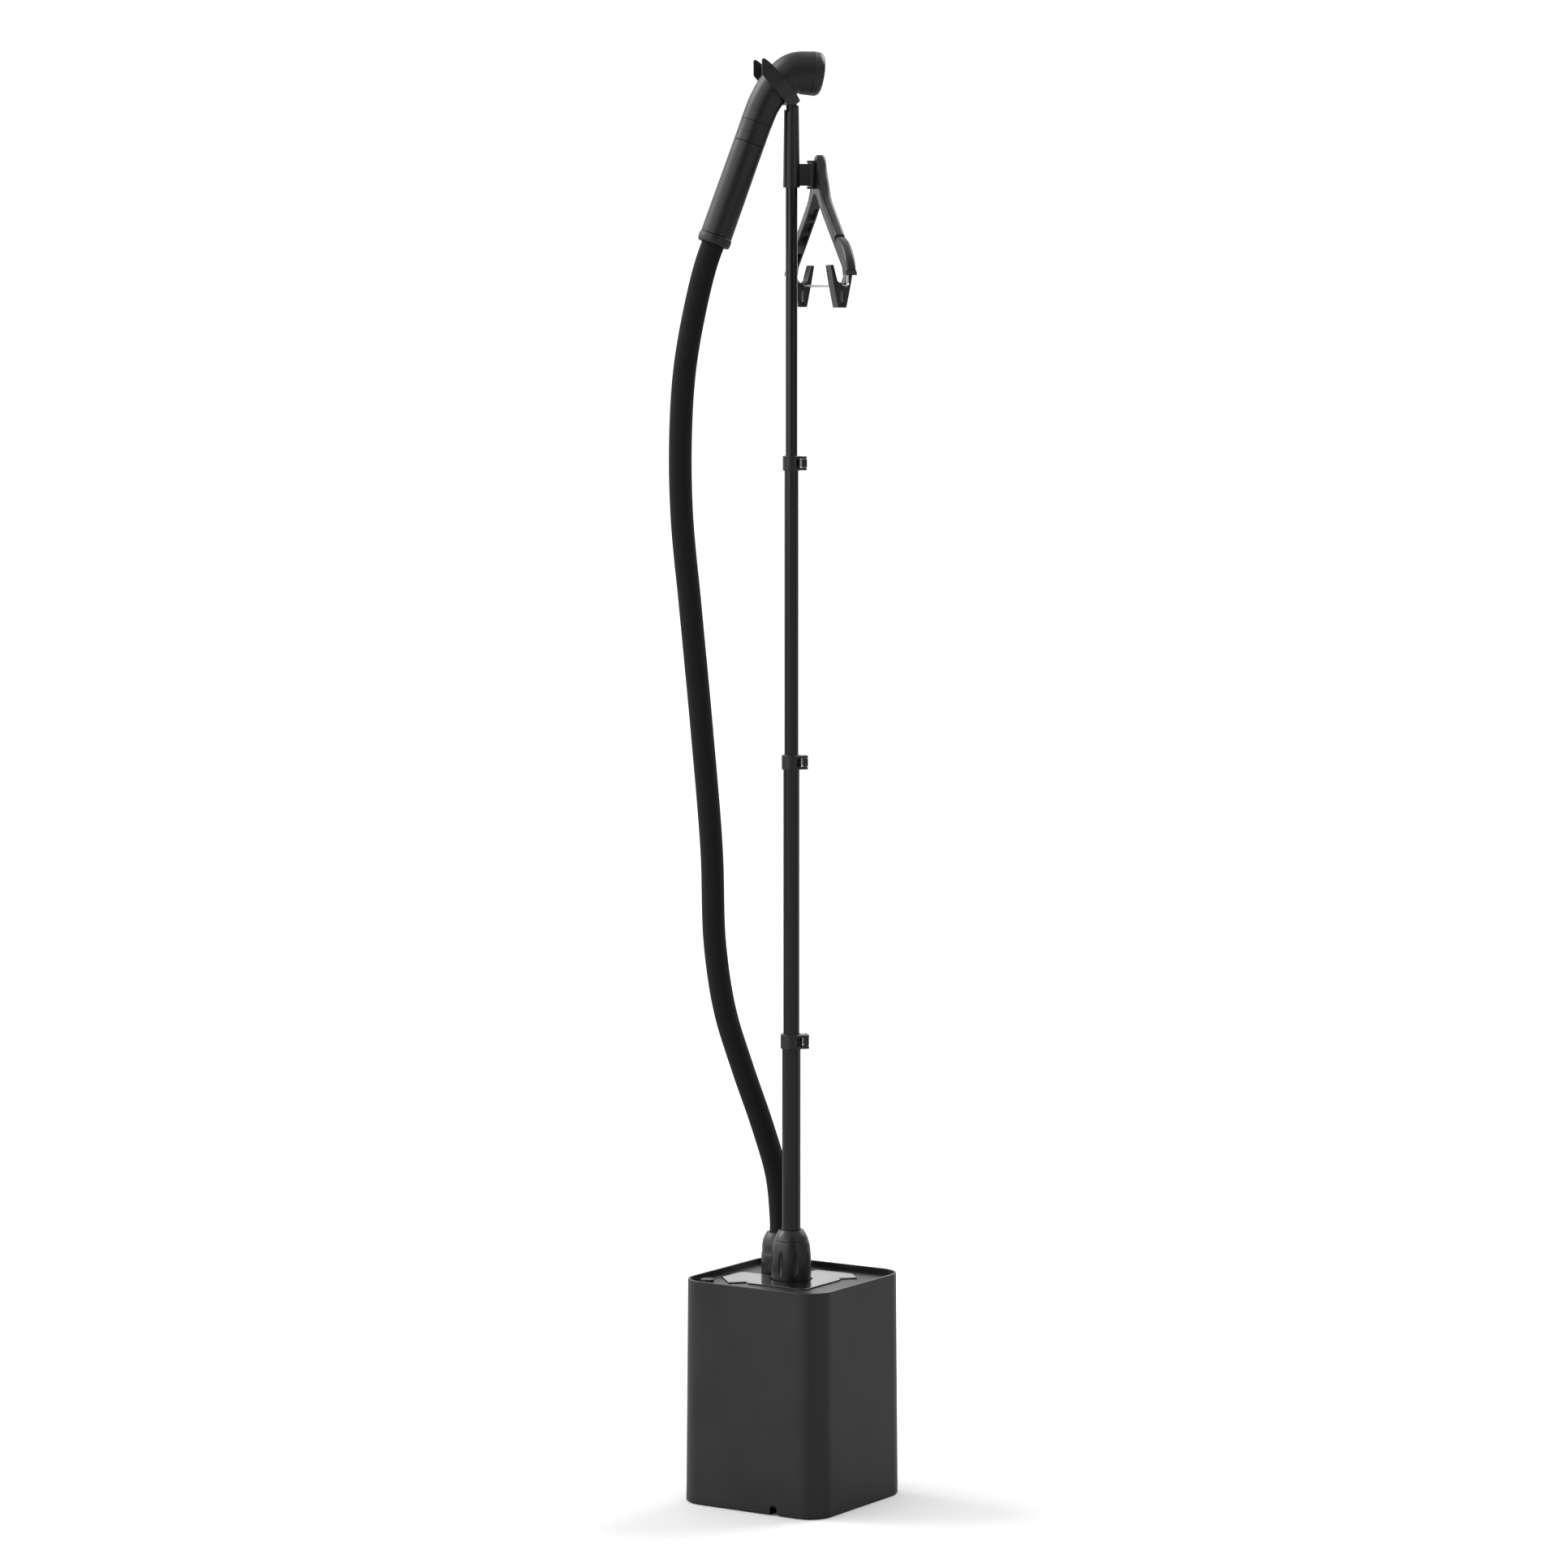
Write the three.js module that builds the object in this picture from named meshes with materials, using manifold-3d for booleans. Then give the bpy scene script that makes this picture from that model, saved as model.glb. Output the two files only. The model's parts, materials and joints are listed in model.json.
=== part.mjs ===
import * as THREE from 'three';
import { mergeVertices } from 'three/addons/utils/BufferGeometryUtils.js';
import Module from 'manifold-3d';

// A standing garment steamer: a square water base, a telescopic mast with flip clamps,
// a cradle that holds the steam handset, a swivelling clothes hanger and a steam hose.
// Millimetres, +Z up. The origin is the centre of the base's underside.

const wasm = await Module();
wasm.setup();

// ---- Driving dimensions ----

// base
const BASE_SIDE = 196;
const BASE_HEIGHT = 263;
const BASE_CORNER = 30.5;
const BASE_DRAFT = 1.9;          // how far each side leans in between floor and rim
const SHELL_WALL = 2.6;
const PLATE_THICKNESS = 4;
const DECK_DROP = 7;             // rim above deck
const DECK_THICKNESS = 3;
const LEDGE_WIDTH = 4;
const SHADOW_GAP = 1.5;          // housing edge above the floor
const FOOT_RADIUS = 10;
const CORD_NOTCH_WIDTH = 9.5;
const CORD_NOTCH_HEIGHT = 12;
const CORD_NOTCH_Y = -37;

// mast
const MAST_X = 4;
const MAST_Y = 4;
const TOP_TUBE_RADIUS = 6.9;
const TUBE_WALL = 1;
const TUBE_GAP = 0.3;            // running gap between two nested tubes
const SOCKET_WALL = 2.6;
const MAST_NUT_RADIUS = 23.2;
const MAST_NUT_HEIGHT = 59;
const NUT_FLUTES = 8;
const FLUTE_RADIUS = 4.6;
const FLUTE_DEPTH = 1.9;
const CLAMP_HEIGHT = 17;
const CLAMP_WALL = 1.9;
const CLAMP_EAR = 3.1;           // thickness of each of the clamp's two ears
const CLAMP_PIN_RADIUS = 1.2;
const CLAMP_PIN_OUT = 3.4;       // lever pin outside the clamp's ring
const CLAMP_PIN_ASIDE = -7.5;
const CLAMP_LEVELS = [529, 855, 1201];      // underside of each clamp, from the lowest
const TUBE_OVERLAP = 40;         // tube left inside the next one when fully out
const SLEEVE_BOTTOM = 1525.5;
const SLEEVE_TOP = 1619;

// hose and its port
const PORT_X = 45;
const PORT_Y = 45;
const HOSE_RADIUS = 13.3;
const HOSE_NUT_RADIUS = 22.4;
const HOSE_NUT_HEIGHT = 47;
const HOSE_START = 292;
const NIPPLE_RADIUS = 10.5;
const NIPPLE_BORE = 5.4;
const NIPPLE_DROP = 12;          // nipple below the deck

// handset, in the mast's plane: x towards the steam face, z up
const HANDLE_FOOT = [-91.9, 1460.5];
const HANDLE_TILT = THREE.MathUtils.degToRad(20.1);
const HANDLE_RADIUS = 18;
const HANDLE_BORE = 14.4;
const CAP_LENGTH = 10.3;
const GRIP_LENGTH = 111.7;
const COLLAR_LENGTH = 25;
const HOSE_IN_HANDLE = 76;
const HEAD_RADIUS = 25.3;
const NECK_WALL = 2.4;
const HEAD_RING_LENGTH = 12;
const STEAM_HOLE_RADIUS = 1.6;
const STEAM_TUBE_RADIUS = 4;
const INLET_LENGTH = 16;         // brass piece between the hose and the steam tube

// cradle
const CRADLE_GAP = 22;           // half the clear width between the two prongs
const CRADLE_WALL = 3.5;
const CRADLE_BAND = 19;
const PRONG_LENGTH = 32;

// hanger
const HANGER_OFFSET = 33.3;      // hanger's mid-plane from the mast axis
const HANGER_THICKNESS = 12.4;
const PIVOT_OFFSET = 24.5;
const PIVOT_RADIUS = 5.6;
const BRACKET_BOTTOM = 1527;
const BRACKET_HEIGHT = 26.4;
const BRACKET_WIDTH = 9;
const BAR_LEVEL = 1413;
const BAR_END = 1434;             // upper end of the bar's turned-up ends
const BAR_REACH = 157;
const BAR_RADIUS = 1.25;
const CLIP_REACH = 106;
const CLIP_LENGTH = 28;
const SPRING_RADIUS = 3.5;
const SPRING_LENGTH = 7.2;
const PIVOT_PIN_RADIUS = 2.2;

// power button
const BUTTON_X = -61;
const BUTTON_Y = 79;
const BUTTON_RADIUS = 8;
const BUTTON_RISE = 4;
const BUTTON_STEM_RADIUS = 3;

// tank, stood in the front of the base
const TANK_BOTTOM = 44;
const TANK_WALL = 2.2;
const TANK_NECK = [-28, -28];
const TANK_CAP_RADIUS = 11;
const TANK_CAP_HEIGHT = 13;
const COVER_RISE = 1.6;          // tank cover above the deck

// works in the base
const BOILER_PLACE = [58, 58];
const BOILER_RADIUS = 25;
const BOILER_TOP = 120;
const PUMP_PLACE = [-69, -20];
const PUMP_RADIUS = 14;
const PUMP_LENGTH = 48;
const PUMP_LEVEL = 24;           // pump axis above the floor
const BOARD_X = -78;
const BOARD_Y = 42;
const BOARD_WIDTH = 56;
const BOARD_TOP = 96;
const BOARD_THICKNESS = 1.6;
const WATER_PIPE_RADIUS = 3.2;
const STEAM_PIPE_RADIUS = 5;

const GAP = 0.3;                 // between two touching pieces
const ROUND = 24;                // sides of a round piece

// ---- Colours ----

const look = (color, roughness, metalness = 0) =>
  new THREE.MeshStandardMaterial({ color, roughness, metalness });
const satinBlack = () => look('#303030', 0.5);
const glossBlack = () => look('#1c1c1d', 0.12);
const paintedTube = () => look('#2c2c2d', 0.35, 0.3);
const softBlack = () => look('#202020', 0.8);
const rubber = () => look('#18181a', 0.9);
const steel = () => look('#b9bbbe', 0.25, 1);
const brass = () => look('#b08d4c', 0.35, 1);
const whitePlastic = () => look('#d8d8d4', 0.5);
const smokedPlastic = () => look('#4a4d50', 0.1);

// ---- Solids ----

// One closed surface: shared corners merged, empty triangles dropped, faces pointing out.
function closed(geometry) {
  const bare = geometry.clone();
  for (const name of Object.keys(bare.attributes)) {
    if (name !== 'position') bare.deleteAttribute(name);
  }
  const merged = mergeVertices(bare, 1e-4);
  const position = merged.getAttribute('position');
  const source = merged.index.array;
  const index = [];
  const a = new THREE.Vector3();
  const b = new THREE.Vector3();
  const c = new THREE.Vector3();
  let volume = 0;
  for (let i = 0; i < source.length; i += 3) {
    const [p, q, r] = [source[i], source[i + 1], source[i + 2]];
    if (p === q || q === r || r === p) continue;
    index.push(p, q, r);
    a.fromBufferAttribute(position, p);
    b.fromBufferAttribute(position, q);
    c.fromBufferAttribute(position, r);
    volume += a.dot(b.cross(c));
  }
  if (volume < 0) index.reverse();
  merged.setIndex(index);
  return merged;
}

function solid(geometry) {
  const mesh = closed(geometry);
  return new wasm.Manifold(new wasm.Mesh({
    numProp: 3,
    vertProperties: new Float32Array(mesh.getAttribute('position').array),
    triVerts: new Uint32Array(mesh.index.array),
  }));
}

function surface(manifold) {
  const mesh = manifold.getMesh();
  const geometry = new THREE.BufferGeometry();
  geometry.setAttribute('position', new THREE.BufferAttribute(mesh.vertProperties, 3));
  geometry.setIndex(new THREE.BufferAttribute(mesh.triVerts, 1));
  return geometry;
}

const join = (first, ...rest) => surface(rest.reduce((whole, g) => whole.add(solid(g)), solid(first)));
const cut = (first, ...rest) => surface(rest.reduce((whole, g) => whole.subtract(solid(g)), solid(first)));

// A profile of [radius, height] pairs turned about the Z axis.
function turned(profile, sides = ROUND) {
  const points = profile.map(([r, z]) => new THREE.Vector2(r, z));
  return new THREE.LatheGeometry(points, sides).rotateX(Math.PI / 2);
}

// A tube, or a rod when the bore is 0.
function tube(radius, bore, bottom, top, sides = ROUND) {
  const ring = [[bore, bottom], [radius, bottom], [radius, top], [bore, top]];
  return turned(bore > 0 ? [...ring, ring[0]] : ring, sides);
}

function block(x0, x1, y0, y1, z0, z1) {
  return new THREE.BoxGeometry(x1 - x0, y1 - y0, z1 - z0)
    .translate((x0 + x1) / 2, (y0 + y1) / 2, (z0 + z1) / 2);
}

const slab = (shape, bottom, top, curveSegments = 6) =>
  new THREE.ExtrudeGeometry(shape, { depth: top - bottom, bevelEnabled: false, curveSegments })
    .translate(0, 0, bottom);

const outline = (points) => new THREE.Shape(points.map(([x, y]) => new THREE.Vector2(x, y)));

// A shape drawn in (x, z) and given a thickness along y.
const upright = (shape, y0, y1) => slab(shape, -y1, -y0).rotateX(Math.PI / 2);

// A shape drawn in (y, z) and given a thickness along x.
const sideways = (shape, x0, x1) => slab(shape, x0, x1).rotateX(Math.PI / 2).rotateZ(Math.PI / 2);

// A section of given radius swept along points.
function swept(points, radius, sides, steps) {
  const path = new THREE.CatmullRomCurve3(points.map((p) => new THREE.Vector3(...p)), false, 'centripetal');
  const section = new THREE.Shape();
  for (let i = 0; i < sides; i += 1) {
    const angle = (2 * Math.PI * i) / sides;
    section[i ? 'lineTo' : 'moveTo'](radius * Math.cos(angle), radius * Math.sin(angle));
  }
  return new THREE.ExtrudeGeometry(section, { steps, bevelEnabled: false, extrudePath: path });
}

// Rings of equal sides joined into one closed skin, with flat ends. Every ring lies along `across`.
function loft(rings, sides, across) {
  const vertices = [];
  const index = [];
  for (const { centre, up, radius } of rings) {
    for (let i = 0; i < sides; i += 1) {
      const angle = (2 * Math.PI * i) / sides;
      const corner = centre.clone().addScaledVector(up, radius * Math.cos(angle));
      corner.addScaledVector(across, radius * Math.sin(angle));
      vertices.push(...corner.toArray());
    }
  }
  for (let ring = 0; ring + 1 < rings.length; ring += 1) {
    for (let i = 0; i < sides; i += 1) {
      const a = ring * sides + i;
      const b = ring * sides + ((i + 1) % sides);
      index.push(a, b, b + sides, a, b + sides, a + sides);
    }
  }
  const last = (rings.length - 1) * sides;
  for (let i = 1; i + 1 < sides; i += 1) {
    index.push(0, i + 1, i, last, last + i, last + i + 1);
  }
  const geometry = new THREE.BufferGeometry();
  geometry.setAttribute('position', new THREE.Float32BufferAttribute(vertices, 3));
  geometry.setIndex(index);
  return geometry;
}

// The outline moved inwards by a distance, corner by corner.
function inset(points, distance) {
  return points.map(([x, y], i) => {
    const [px, py] = points[(i + points.length - 1) % points.length];
    const [nx, ny] = points[(i + 1) % points.length];
    const before = new THREE.Vector2(x - px, y - py).normalize();
    const after = new THREE.Vector2(nx - x, ny - y).normalize();
    const normal = new THREE.Vector2(-before.y - after.y, before.x + after.x).normalize();
    const reach = distance / (normal.x * -before.y + normal.y * before.x);
    return [x + normal.x * reach, y + normal.y * reach];
  });
}

function roundedSquare(half, radius) {
  const shape = new THREE.Shape();
  const c = half - radius;
  shape.absarc(c, c, radius, 0, Math.PI / 2);
  shape.absarc(-c, c, radius, Math.PI / 2, Math.PI);
  shape.absarc(-c, -c, radius, Math.PI, 1.5 * Math.PI);
  shape.absarc(c, -c, radius, 1.5 * Math.PI, 2 * Math.PI);
  shape.closePath();
  return shape;
}

// ---- Scene graph ----

const steamer = new THREE.Group();

const mast = new THREE.Group();          // x towards the steam face, y across, z up
mast.position.set(MAST_X, MAST_Y, 0);
mast.rotation.z = -Math.PI / 4;
steamer.add(mast);

const port = new THREE.Group();
port.position.set(PORT_X, PORT_Y, 0);
steamer.add(port);

const handset = new THREE.Group();       // z along the handle, from its foot
handset.position.set(HANDLE_FOOT[0], 0, HANDLE_FOOT[1]);
handset.rotation.y = HANDLE_TILT;
mast.add(handset);

function piece(parent, name, geometry, material) {
  const mesh = new THREE.Mesh(closed(geometry), material);
  mesh.name = name;
  parent.add(mesh);
}

// A point on the handle's axis, at a distance from its foot, in the mast's plane.
const handleAxis = new THREE.Vector3(Math.sin(HANDLE_TILT), 0, Math.cos(HANDLE_TILT));
const onHandle = (reach) =>
  new THREE.Vector3(HANDLE_FOOT[0], 0, HANDLE_FOOT[1]).addScaledVector(handleAxis, reach);

// ---- Base: housing, floor plate and feet ----

const half = BASE_SIDE / 2;
const deckTop = BASE_HEIGHT - DECK_DROP;
const deckBottom = deckTop - DECK_THICKNESS;

// The sides lean in evenly with height.
function drafted(geometry) {
  const position = geometry.getAttribute('position');
  for (let i = 0; i < position.count; i += 1) {
    const shrink = 1 - (BASE_DRAFT / half) * (position.getZ(i) / BASE_HEIGHT);
    position.setXY(i, position.getX(i) * shrink, position.getY(i) * shrink);
  }
  return geometry;
}

const squareBlock = (shrink, bottom, top) =>
  drafted(slab(roundedSquare(half - shrink, BASE_CORNER - shrink), bottom, top, 6));

function makeHousing() {
  const notch = new THREE.Shape();
  const r = CORD_NOTCH_WIDTH / 2;
  notch.moveTo(-r, -1);
  notch.lineTo(r, -1);
  notch.absarc(0, CORD_NOTCH_HEIGHT - r, r, 0, Math.PI);
  notch.closePath();
  const notchBlock = sideways(notch, -half - 5, -half + SHELL_WALL + 3).translate(0, CORD_NOTCH_Y, 0);
  const shell = cut(
    squareBlock(0, SHADOW_GAP, BASE_HEIGHT),
    squareBlock(SHELL_WALL, -1, deckBottom - LEDGE_WIDTH),
    squareBlock(SHELL_WALL + LEDGE_WIDTH, deckBottom - LEDGE_WIDTH - 1, deckBottom),
    squareBlock(SHELL_WALL, deckBottom - GAP, BASE_HEIGHT + 1),
    notchBlock,
  );
  piece(steamer, 'housing', shell, satinBlack());
}

const footPlaces = [[-1, -1], [1, -1], [1, 1], [-1, 1]].map(([x, y]) => {
  const reach = half - BASE_CORNER + 6;
  return [x * reach, y * reach];
});

const footThickness = 2.2;
const boardEnds = [BOARD_Y - BOARD_WIDTH / 2, BOARD_Y + BOARD_WIDTH / 2];

// The two slotted posts that hold the control board's ends.
function boardPosts() {
  const grip = 3;
  const post = 6;
  const top = 30;
  const slotHalf = BOARD_THICKNESS / 2 + GAP;
  return boardEnds.map((end, i) => {
    const out = i ? 1 : -1;
    const [near, far] = [end - out * grip, end + out * (post - grip + 1)].sort((a, b) => a - b);
    const [slotNear, slotFar] = [end - out * (grip + 1), end + out * GAP].sort((a, b) => a - b);
    return cut(
      block(BOARD_X - 4, BOARD_X + 4, near, far, PLATE_THICKNESS - 0.5, top),
      block(BOARD_X - slotHalf, BOARD_X + slotHalf, slotNear, slotFar, PLATE_THICKNESS, top + 1),
    );
  });
}

function makeFloorPlate() {
  const pocket = tube(FOOT_RADIUS + GAP, 0, -1, footThickness + GAP, 20);
  const pockets = footPlaces.map(([x, y]) => pocket.clone().translate(x, y, 0));
  const halfGap = CORD_NOTCH_WIDTH / 2 + 2;
  const cordGap = block(-half - 2, -half + 18, CORD_NOTCH_Y - halfGap, CORD_NOTCH_Y + halfGap,
    -1, PLATE_THICKNESS + 1);
  const plate = cut(
    join(squareBlock(SHELL_WALL + 2 * GAP, 0, PLATE_THICKNESS), ...boardPosts()),
    ...pockets,
    cordGap,
  );
  piece(steamer, 'floor_plate', plate, satinBlack());
  footPlaces.forEach(([x, y], i) => {
    const foot = tube(FOOT_RADIUS, 0, 0, footThickness, 20);
    piece(steamer, `foot_${i + 1}`, foot.translate(x, y, 0), rubber());
  });
}

// ---- Tank: it stands in the front of the base and lifts straight out ----

// Half of the tank's outline, from the knob round to the front corner; the other half mirrors it.
const knobClearance = MAST_NUT_RADIUS + 1.3;

function tankOutline() {
  const halfway = [[2, 86], [-25, 84], [-59, 50], [-50, 40], [-47, 35], [-47, -38], [-44.4, -44.4]];
  const knob = [];
  const from = THREE.MathUtils.degToRad(98);
  const to = THREE.MathUtils.degToRad(225);
  for (let i = 0; i <= 5; i += 1) {
    const angle = from + ((to - from) * i) / 5;
    knob.push([MAST_X + knobClearance * Math.cos(angle), MAST_Y + knobClearance * Math.sin(angle)]);
  }
  const side = [...knob.reverse(), [11, 50], [11, 75], ...halfway];
  const mirrored = side.slice(1, -1).reverse().map(([x, y]) => [y, x]);
  return [...side, ...mirrored];
}

const opening = tankOutline();
const neckRadius = TANK_CAP_RADIUS - 2.6;
const capBottom = TANK_BOTTOM - 1 - TANK_CAP_HEIGHT;

function makeTank() {
  const neck = tube(neckRadius, 0, TANK_BOTTOM - 10, TANK_BOTTOM + 1, 24);
  const bore = tube(neckRadius - 2, 0, TANK_BOTTOM - 11, TANK_BOTTOM + 4, 24);
  const top = deckBottom - 3;
  const body = slab(outline(inset(opening, TANK_WALL)), TANK_BOTTOM, top);
  const tank = cut(
    join(body, neck.translate(...TANK_NECK, 0)),
    slab(outline(inset(opening, 2 * TANK_WALL)), TANK_BOTTOM + 2, top - TANK_WALL),
    bore.translate(...TANK_NECK, 0),
  );
  piece(steamer, 'water_tank', tank, smokedPlastic());
  const panel = slab(outline(inset(opening, 2 * GAP)), top + GAP, deckTop + COVER_RISE);
  piece(steamer, 'tank_cover', cut(panel, ...fingerScoops()), glossBlack());
}

// A shallow trough at each end of the cover, along the corner that it is lifted by.
function fingerScoops() {
  const [reach, width] = [9, 26];
  return [[-53, 43], [43, -53]].map(([x, y]) =>
    new THREE.CylinderGeometry(reach, reach, width, 20)
      .scale(1, 1, 0.55)
      .rotateZ(Math.PI / 4)
      .translate(x, y, deckTop + 5));
}

function makeTankCap() {
  const stemRadius = 2;
  const headRadius = 4.6;
  const cap = cut(
    tube(TANK_CAP_RADIUS, 0, capBottom, TANK_BOTTOM - 1, 24),
    tube(neckRadius + GAP, 0, capBottom + 3, TANK_BOTTOM, 24),
    tube(stemRadius + 1, 0, capBottom - 1, capBottom + 4, 16),
  );
  piece(steamer, 'tank_cap', cap.translate(...TANK_NECK, 0), whitePlastic());
  const stem = turned([[0, capBottom - 7], [stemRadius, capBottom - 7], [stemRadius, capBottom + 3.4],
    [headRadius, capBottom + 3.4], [headRadius, capBottom + 5], [0, capBottom + 5]], 16);
  piece(steamer, 'tank_valve', stem.translate(...TANK_NECK, 0), steel());
}

const seatRadius = TANK_CAP_RADIUS + 4;
const seatOutletLevel = 12.5;

function makeTankSeat() {
  const top = capBottom - GAP;
  const floor = PLATE_THICKNESS + GAP;
  const seat = cut(
    turned([[0, floor], [seatRadius + 5, floor], [seatRadius + 5, floor + 3], [seatRadius, floor + 3],
      [seatRadius, top], [0, top]]),
    tube(7, 0, floor + 4, top + 1, 24),
    tube(WATER_PIPE_RADIUS, 0, 0, 24, 12).rotateX(Math.PI / 2).translate(0, -4, seatOutletLevel),
  );
  piece(steamer, 'tank_seat', seat.translate(...TANK_NECK, 0), whitePlastic());
}

// ---- Deck ----

const socketRadius = TOP_TUBE_RADIUS + 3 * (TUBE_GAP + TUBE_WALL) + TUBE_GAP + SOCKET_WALL;

function makeDeck() {
  const deck = cut(
    squareBlock(SHELL_WALL + 0.3, deckBottom + GAP, deckTop),
    slab(outline(opening), deckBottom - 2, deckTop + 1),
    tube(socketRadius + GAP, 0, deckBottom - 1, deckTop + 1).translate(MAST_X, MAST_Y, 0),
    tube(NIPPLE_RADIUS + GAP, 0, deckBottom - 1, deckTop + 1, 24).translate(PORT_X, PORT_Y, 0),
    tube(BUTTON_RADIUS + 0.4, 0, deckBottom - 1, deckTop + 1, 24).translate(BUTTON_X, BUTTON_Y, 0),
  );
  piece(steamer, 'deck', deck, glossBlack());
}

function makeButton() {
  const top = deckTop + BUTTON_RISE;
  const stem = BUTTON_STEM_RADIUS;
  const button = turned([[0, deckBottom - 6], [stem, deckBottom - 6], [stem, deckBottom - 2],
    [BUTTON_RADIUS, deckBottom - 2], [BUTTON_RADIUS, top - 1], [BUTTON_RADIUS - 1, top], [0, top]]);
  piece(steamer, 'power_button', button.translate(BUTTON_X, BUTTON_Y, 0), satinBlack());
  const body = cut(
    block(-BUTTON_RADIUS, BUTTON_RADIUS, -6, 6, deckBottom - 26, deckBottom - 4.5),
    tube(stem + 0.4, 0, deckBottom - 10, deckBottom - 4, 16),
  );
  piece(steamer, 'power_switch', body.translate(BUTTON_X, BUTTON_Y, 0), whitePlastic());
}

// ---- Works inside the base ----

function makeBoiler() {
  const r = BOILER_RADIUS;
  const standTop = 20;
  const underside = 12;
  const outlet = 6;              // radius and height of the steam outlet's boss
  const boiler = turned([[0, underside], [r, underside], [r, BOILER_TOP - 6], [r - 6, BOILER_TOP],
    [outlet, BOILER_TOP], [outlet, BOILER_TOP + outlet], [0, BOILER_TOP + outlet]]);
  piece(steamer, 'boiler', boiler.translate(...BOILER_PLACE, 0), steel());
  const stand = cut(
    tube(r + 4, 0, PLATE_THICKNESS + GAP, standTop),
    tube(r + GAP, 0, underside - GAP, standTop + 1),
    tube(r - 6, 0, 0, standTop + 1),
  );
  piece(steamer, 'boiler_stand', stand.translate(...BOILER_PLACE, 0), whitePlastic());
  const heater = tube(r + 5, r + 0.4, 2 * standTop, 3 * standTop);
  piece(steamer, 'heater_band', heater.translate(...BOILER_PLACE, 0), brass());
  const thermostat = tube(6, 0, BOILER_TOP + GAP, BOILER_TOP + 6, 16);
  const [x, y] = BOILER_PLACE;
  piece(steamer, 'thermostat', thermostat.translate(x + r / 2, y, 0), steel());
}

function makePump() {
  const motor = tube(PUMP_RADIUS, 0, -PUMP_LENGTH / 2, PUMP_LENGTH / 2).rotateX(Math.PI / 2);
  const bracket = block(-10, 10, -20, 20, PLATE_THICKNESS + GAP, PUMP_LEVEL - 4);
  const pump = join(motor.translate(0, 0, PUMP_LEVEL), bracket);
  piece(steamer, 'pump', pump.translate(...PUMP_PLACE, 0), whitePlastic());
}

function makeBoard() {
  const thick = BOARD_THICKNESS / 2;
  const board = block(BOARD_X - thick, BOARD_X + thick, ...boardEnds, PLATE_THICKNESS + GAP, BOARD_TOP);
  piece(steamer, 'control_board', board, look('#2f5a3a', 0.6));
}

function makeBasePipes() {
  const [neckX, neckY] = TANK_NECK;
  const [pumpX, pumpY] = PUMP_PLACE;
  const [boilerX, boilerY] = BOILER_PLACE;
  const pumpReach = PUMP_LENGTH / 2 + 2 * GAP;
  const feed = swept([[neckX, neckY - seatRadius - GAP, seatOutletLevel],
    [neckX, neckY - seatRadius - 11, seatOutletLevel + 0.5], [-50, -66, 18],
    [pumpX + 2, -62, PUMP_LEVEL], [pumpX, pumpY - pumpReach, PUMP_LEVEL]], WATER_PIPE_RADIUS, 8, 14);
  piece(steamer, 'feed_pipe', feed, whitePlastic());
  const supply = swept([[pumpX, pumpY + pumpReach, PUMP_LEVEL], [pumpX, 16, 24.5], [-60, 42, 28],
    [-40, 74, 30], [10, 78, 32], [22, boilerY + 2, 32],
    [boilerX - BOILER_RADIUS - 2 * GAP, boilerY, 32]], WATER_PIPE_RADIUS, 8, 22);
  piece(steamer, 'boiler_pipe', supply, whitePlastic());
  const steamLow = BOILER_TOP + 6 + GAP;
  const steamRise = deckBottom - NIPPLE_DROP - GAP - steamLow;
  const steam = swept([[boilerX, boilerY, steamLow], [boilerX, boilerY, steamLow + 0.3 * steamRise],
    [PORT_X + 6, PORT_Y + 6, steamLow + 0.56 * steamRise], [PORT_X, PORT_Y, steamLow + 0.78 * steamRise],
    [PORT_X, PORT_Y, steamLow + steamRise]], STEAM_PIPE_RADIUS, 8, 10);
  piece(steamer, 'steam_pipe', steam, steel());
}

// ---- Mast socket, tubes and nuts ----

const tubeRadius = (stage) => TOP_TUBE_RADIUS + (3 - stage) * (TUBE_GAP + TUBE_WALL);   // stage 0 lowest
const socketBore = tubeRadius(0) + TUBE_GAP;
const nutBottom = deckTop + 0.8;
const threadTop = nutBottom + 38;

function makeSocket() {
  const floor = PLATE_THICKNESS + GAP;
  const socket = turned([[0, floor], [24, floor], [24, floor + 4], [socketRadius, floor + 14],
    [socketRadius, threadTop], [socketBore, threadTop], [socketBore, floor + 5], [0, floor + 5]]);
  piece(mast, 'mast_socket', socket, satinBlack());
}

// The mast nut's domed outside, as shares of its height and of its radius.
const nutDome = [[0, 0.975], [0.1, 1], [0.45, 0.99], [0.6, 0.96], [0.72, 0.915], [0.8, 0.86],
  [0.88, 0.785], [0.95, 0.69], [1, 0.61]];

function makeMastNut() {
  const top = nutBottom + MAST_NUT_HEIGHT;
  const bore = socketRadius + GAP;
  const mouth = tubeRadius(0) + GAP;
  const dome = nutDome.map(([rise, share]) => [MAST_NUT_RADIUS * share, nutBottom + MAST_NUT_HEIGHT * rise]);
  const body = turned([[bore, nutBottom], ...dome, [mouth, top - 1.2], [mouth, threadTop + 3],
    [bore, threadTop + 3], [bore, nutBottom]], 32);
  const length = 0.36 * MAST_NUT_HEIGHT;
  const flute = new THREE.SphereGeometry(1, 12, 10).rotateX(Math.PI / 2);
  flute.scale(FLUTE_RADIUS, FLUTE_RADIUS, length);
  flute.translate(MAST_NUT_RADIUS + FLUTE_RADIUS - FLUTE_DEPTH, 0, nutBottom + 0.4 * MAST_NUT_HEIGHT);
  const flutes = Array.from({ length: NUT_FLUTES }, (_, i) =>
    flute.clone().rotateZ((2 * Math.PI * i) / NUT_FLUTES));
  piece(mast, 'mast_nut', cut(body, ...flutes), satinBlack());
}

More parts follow.
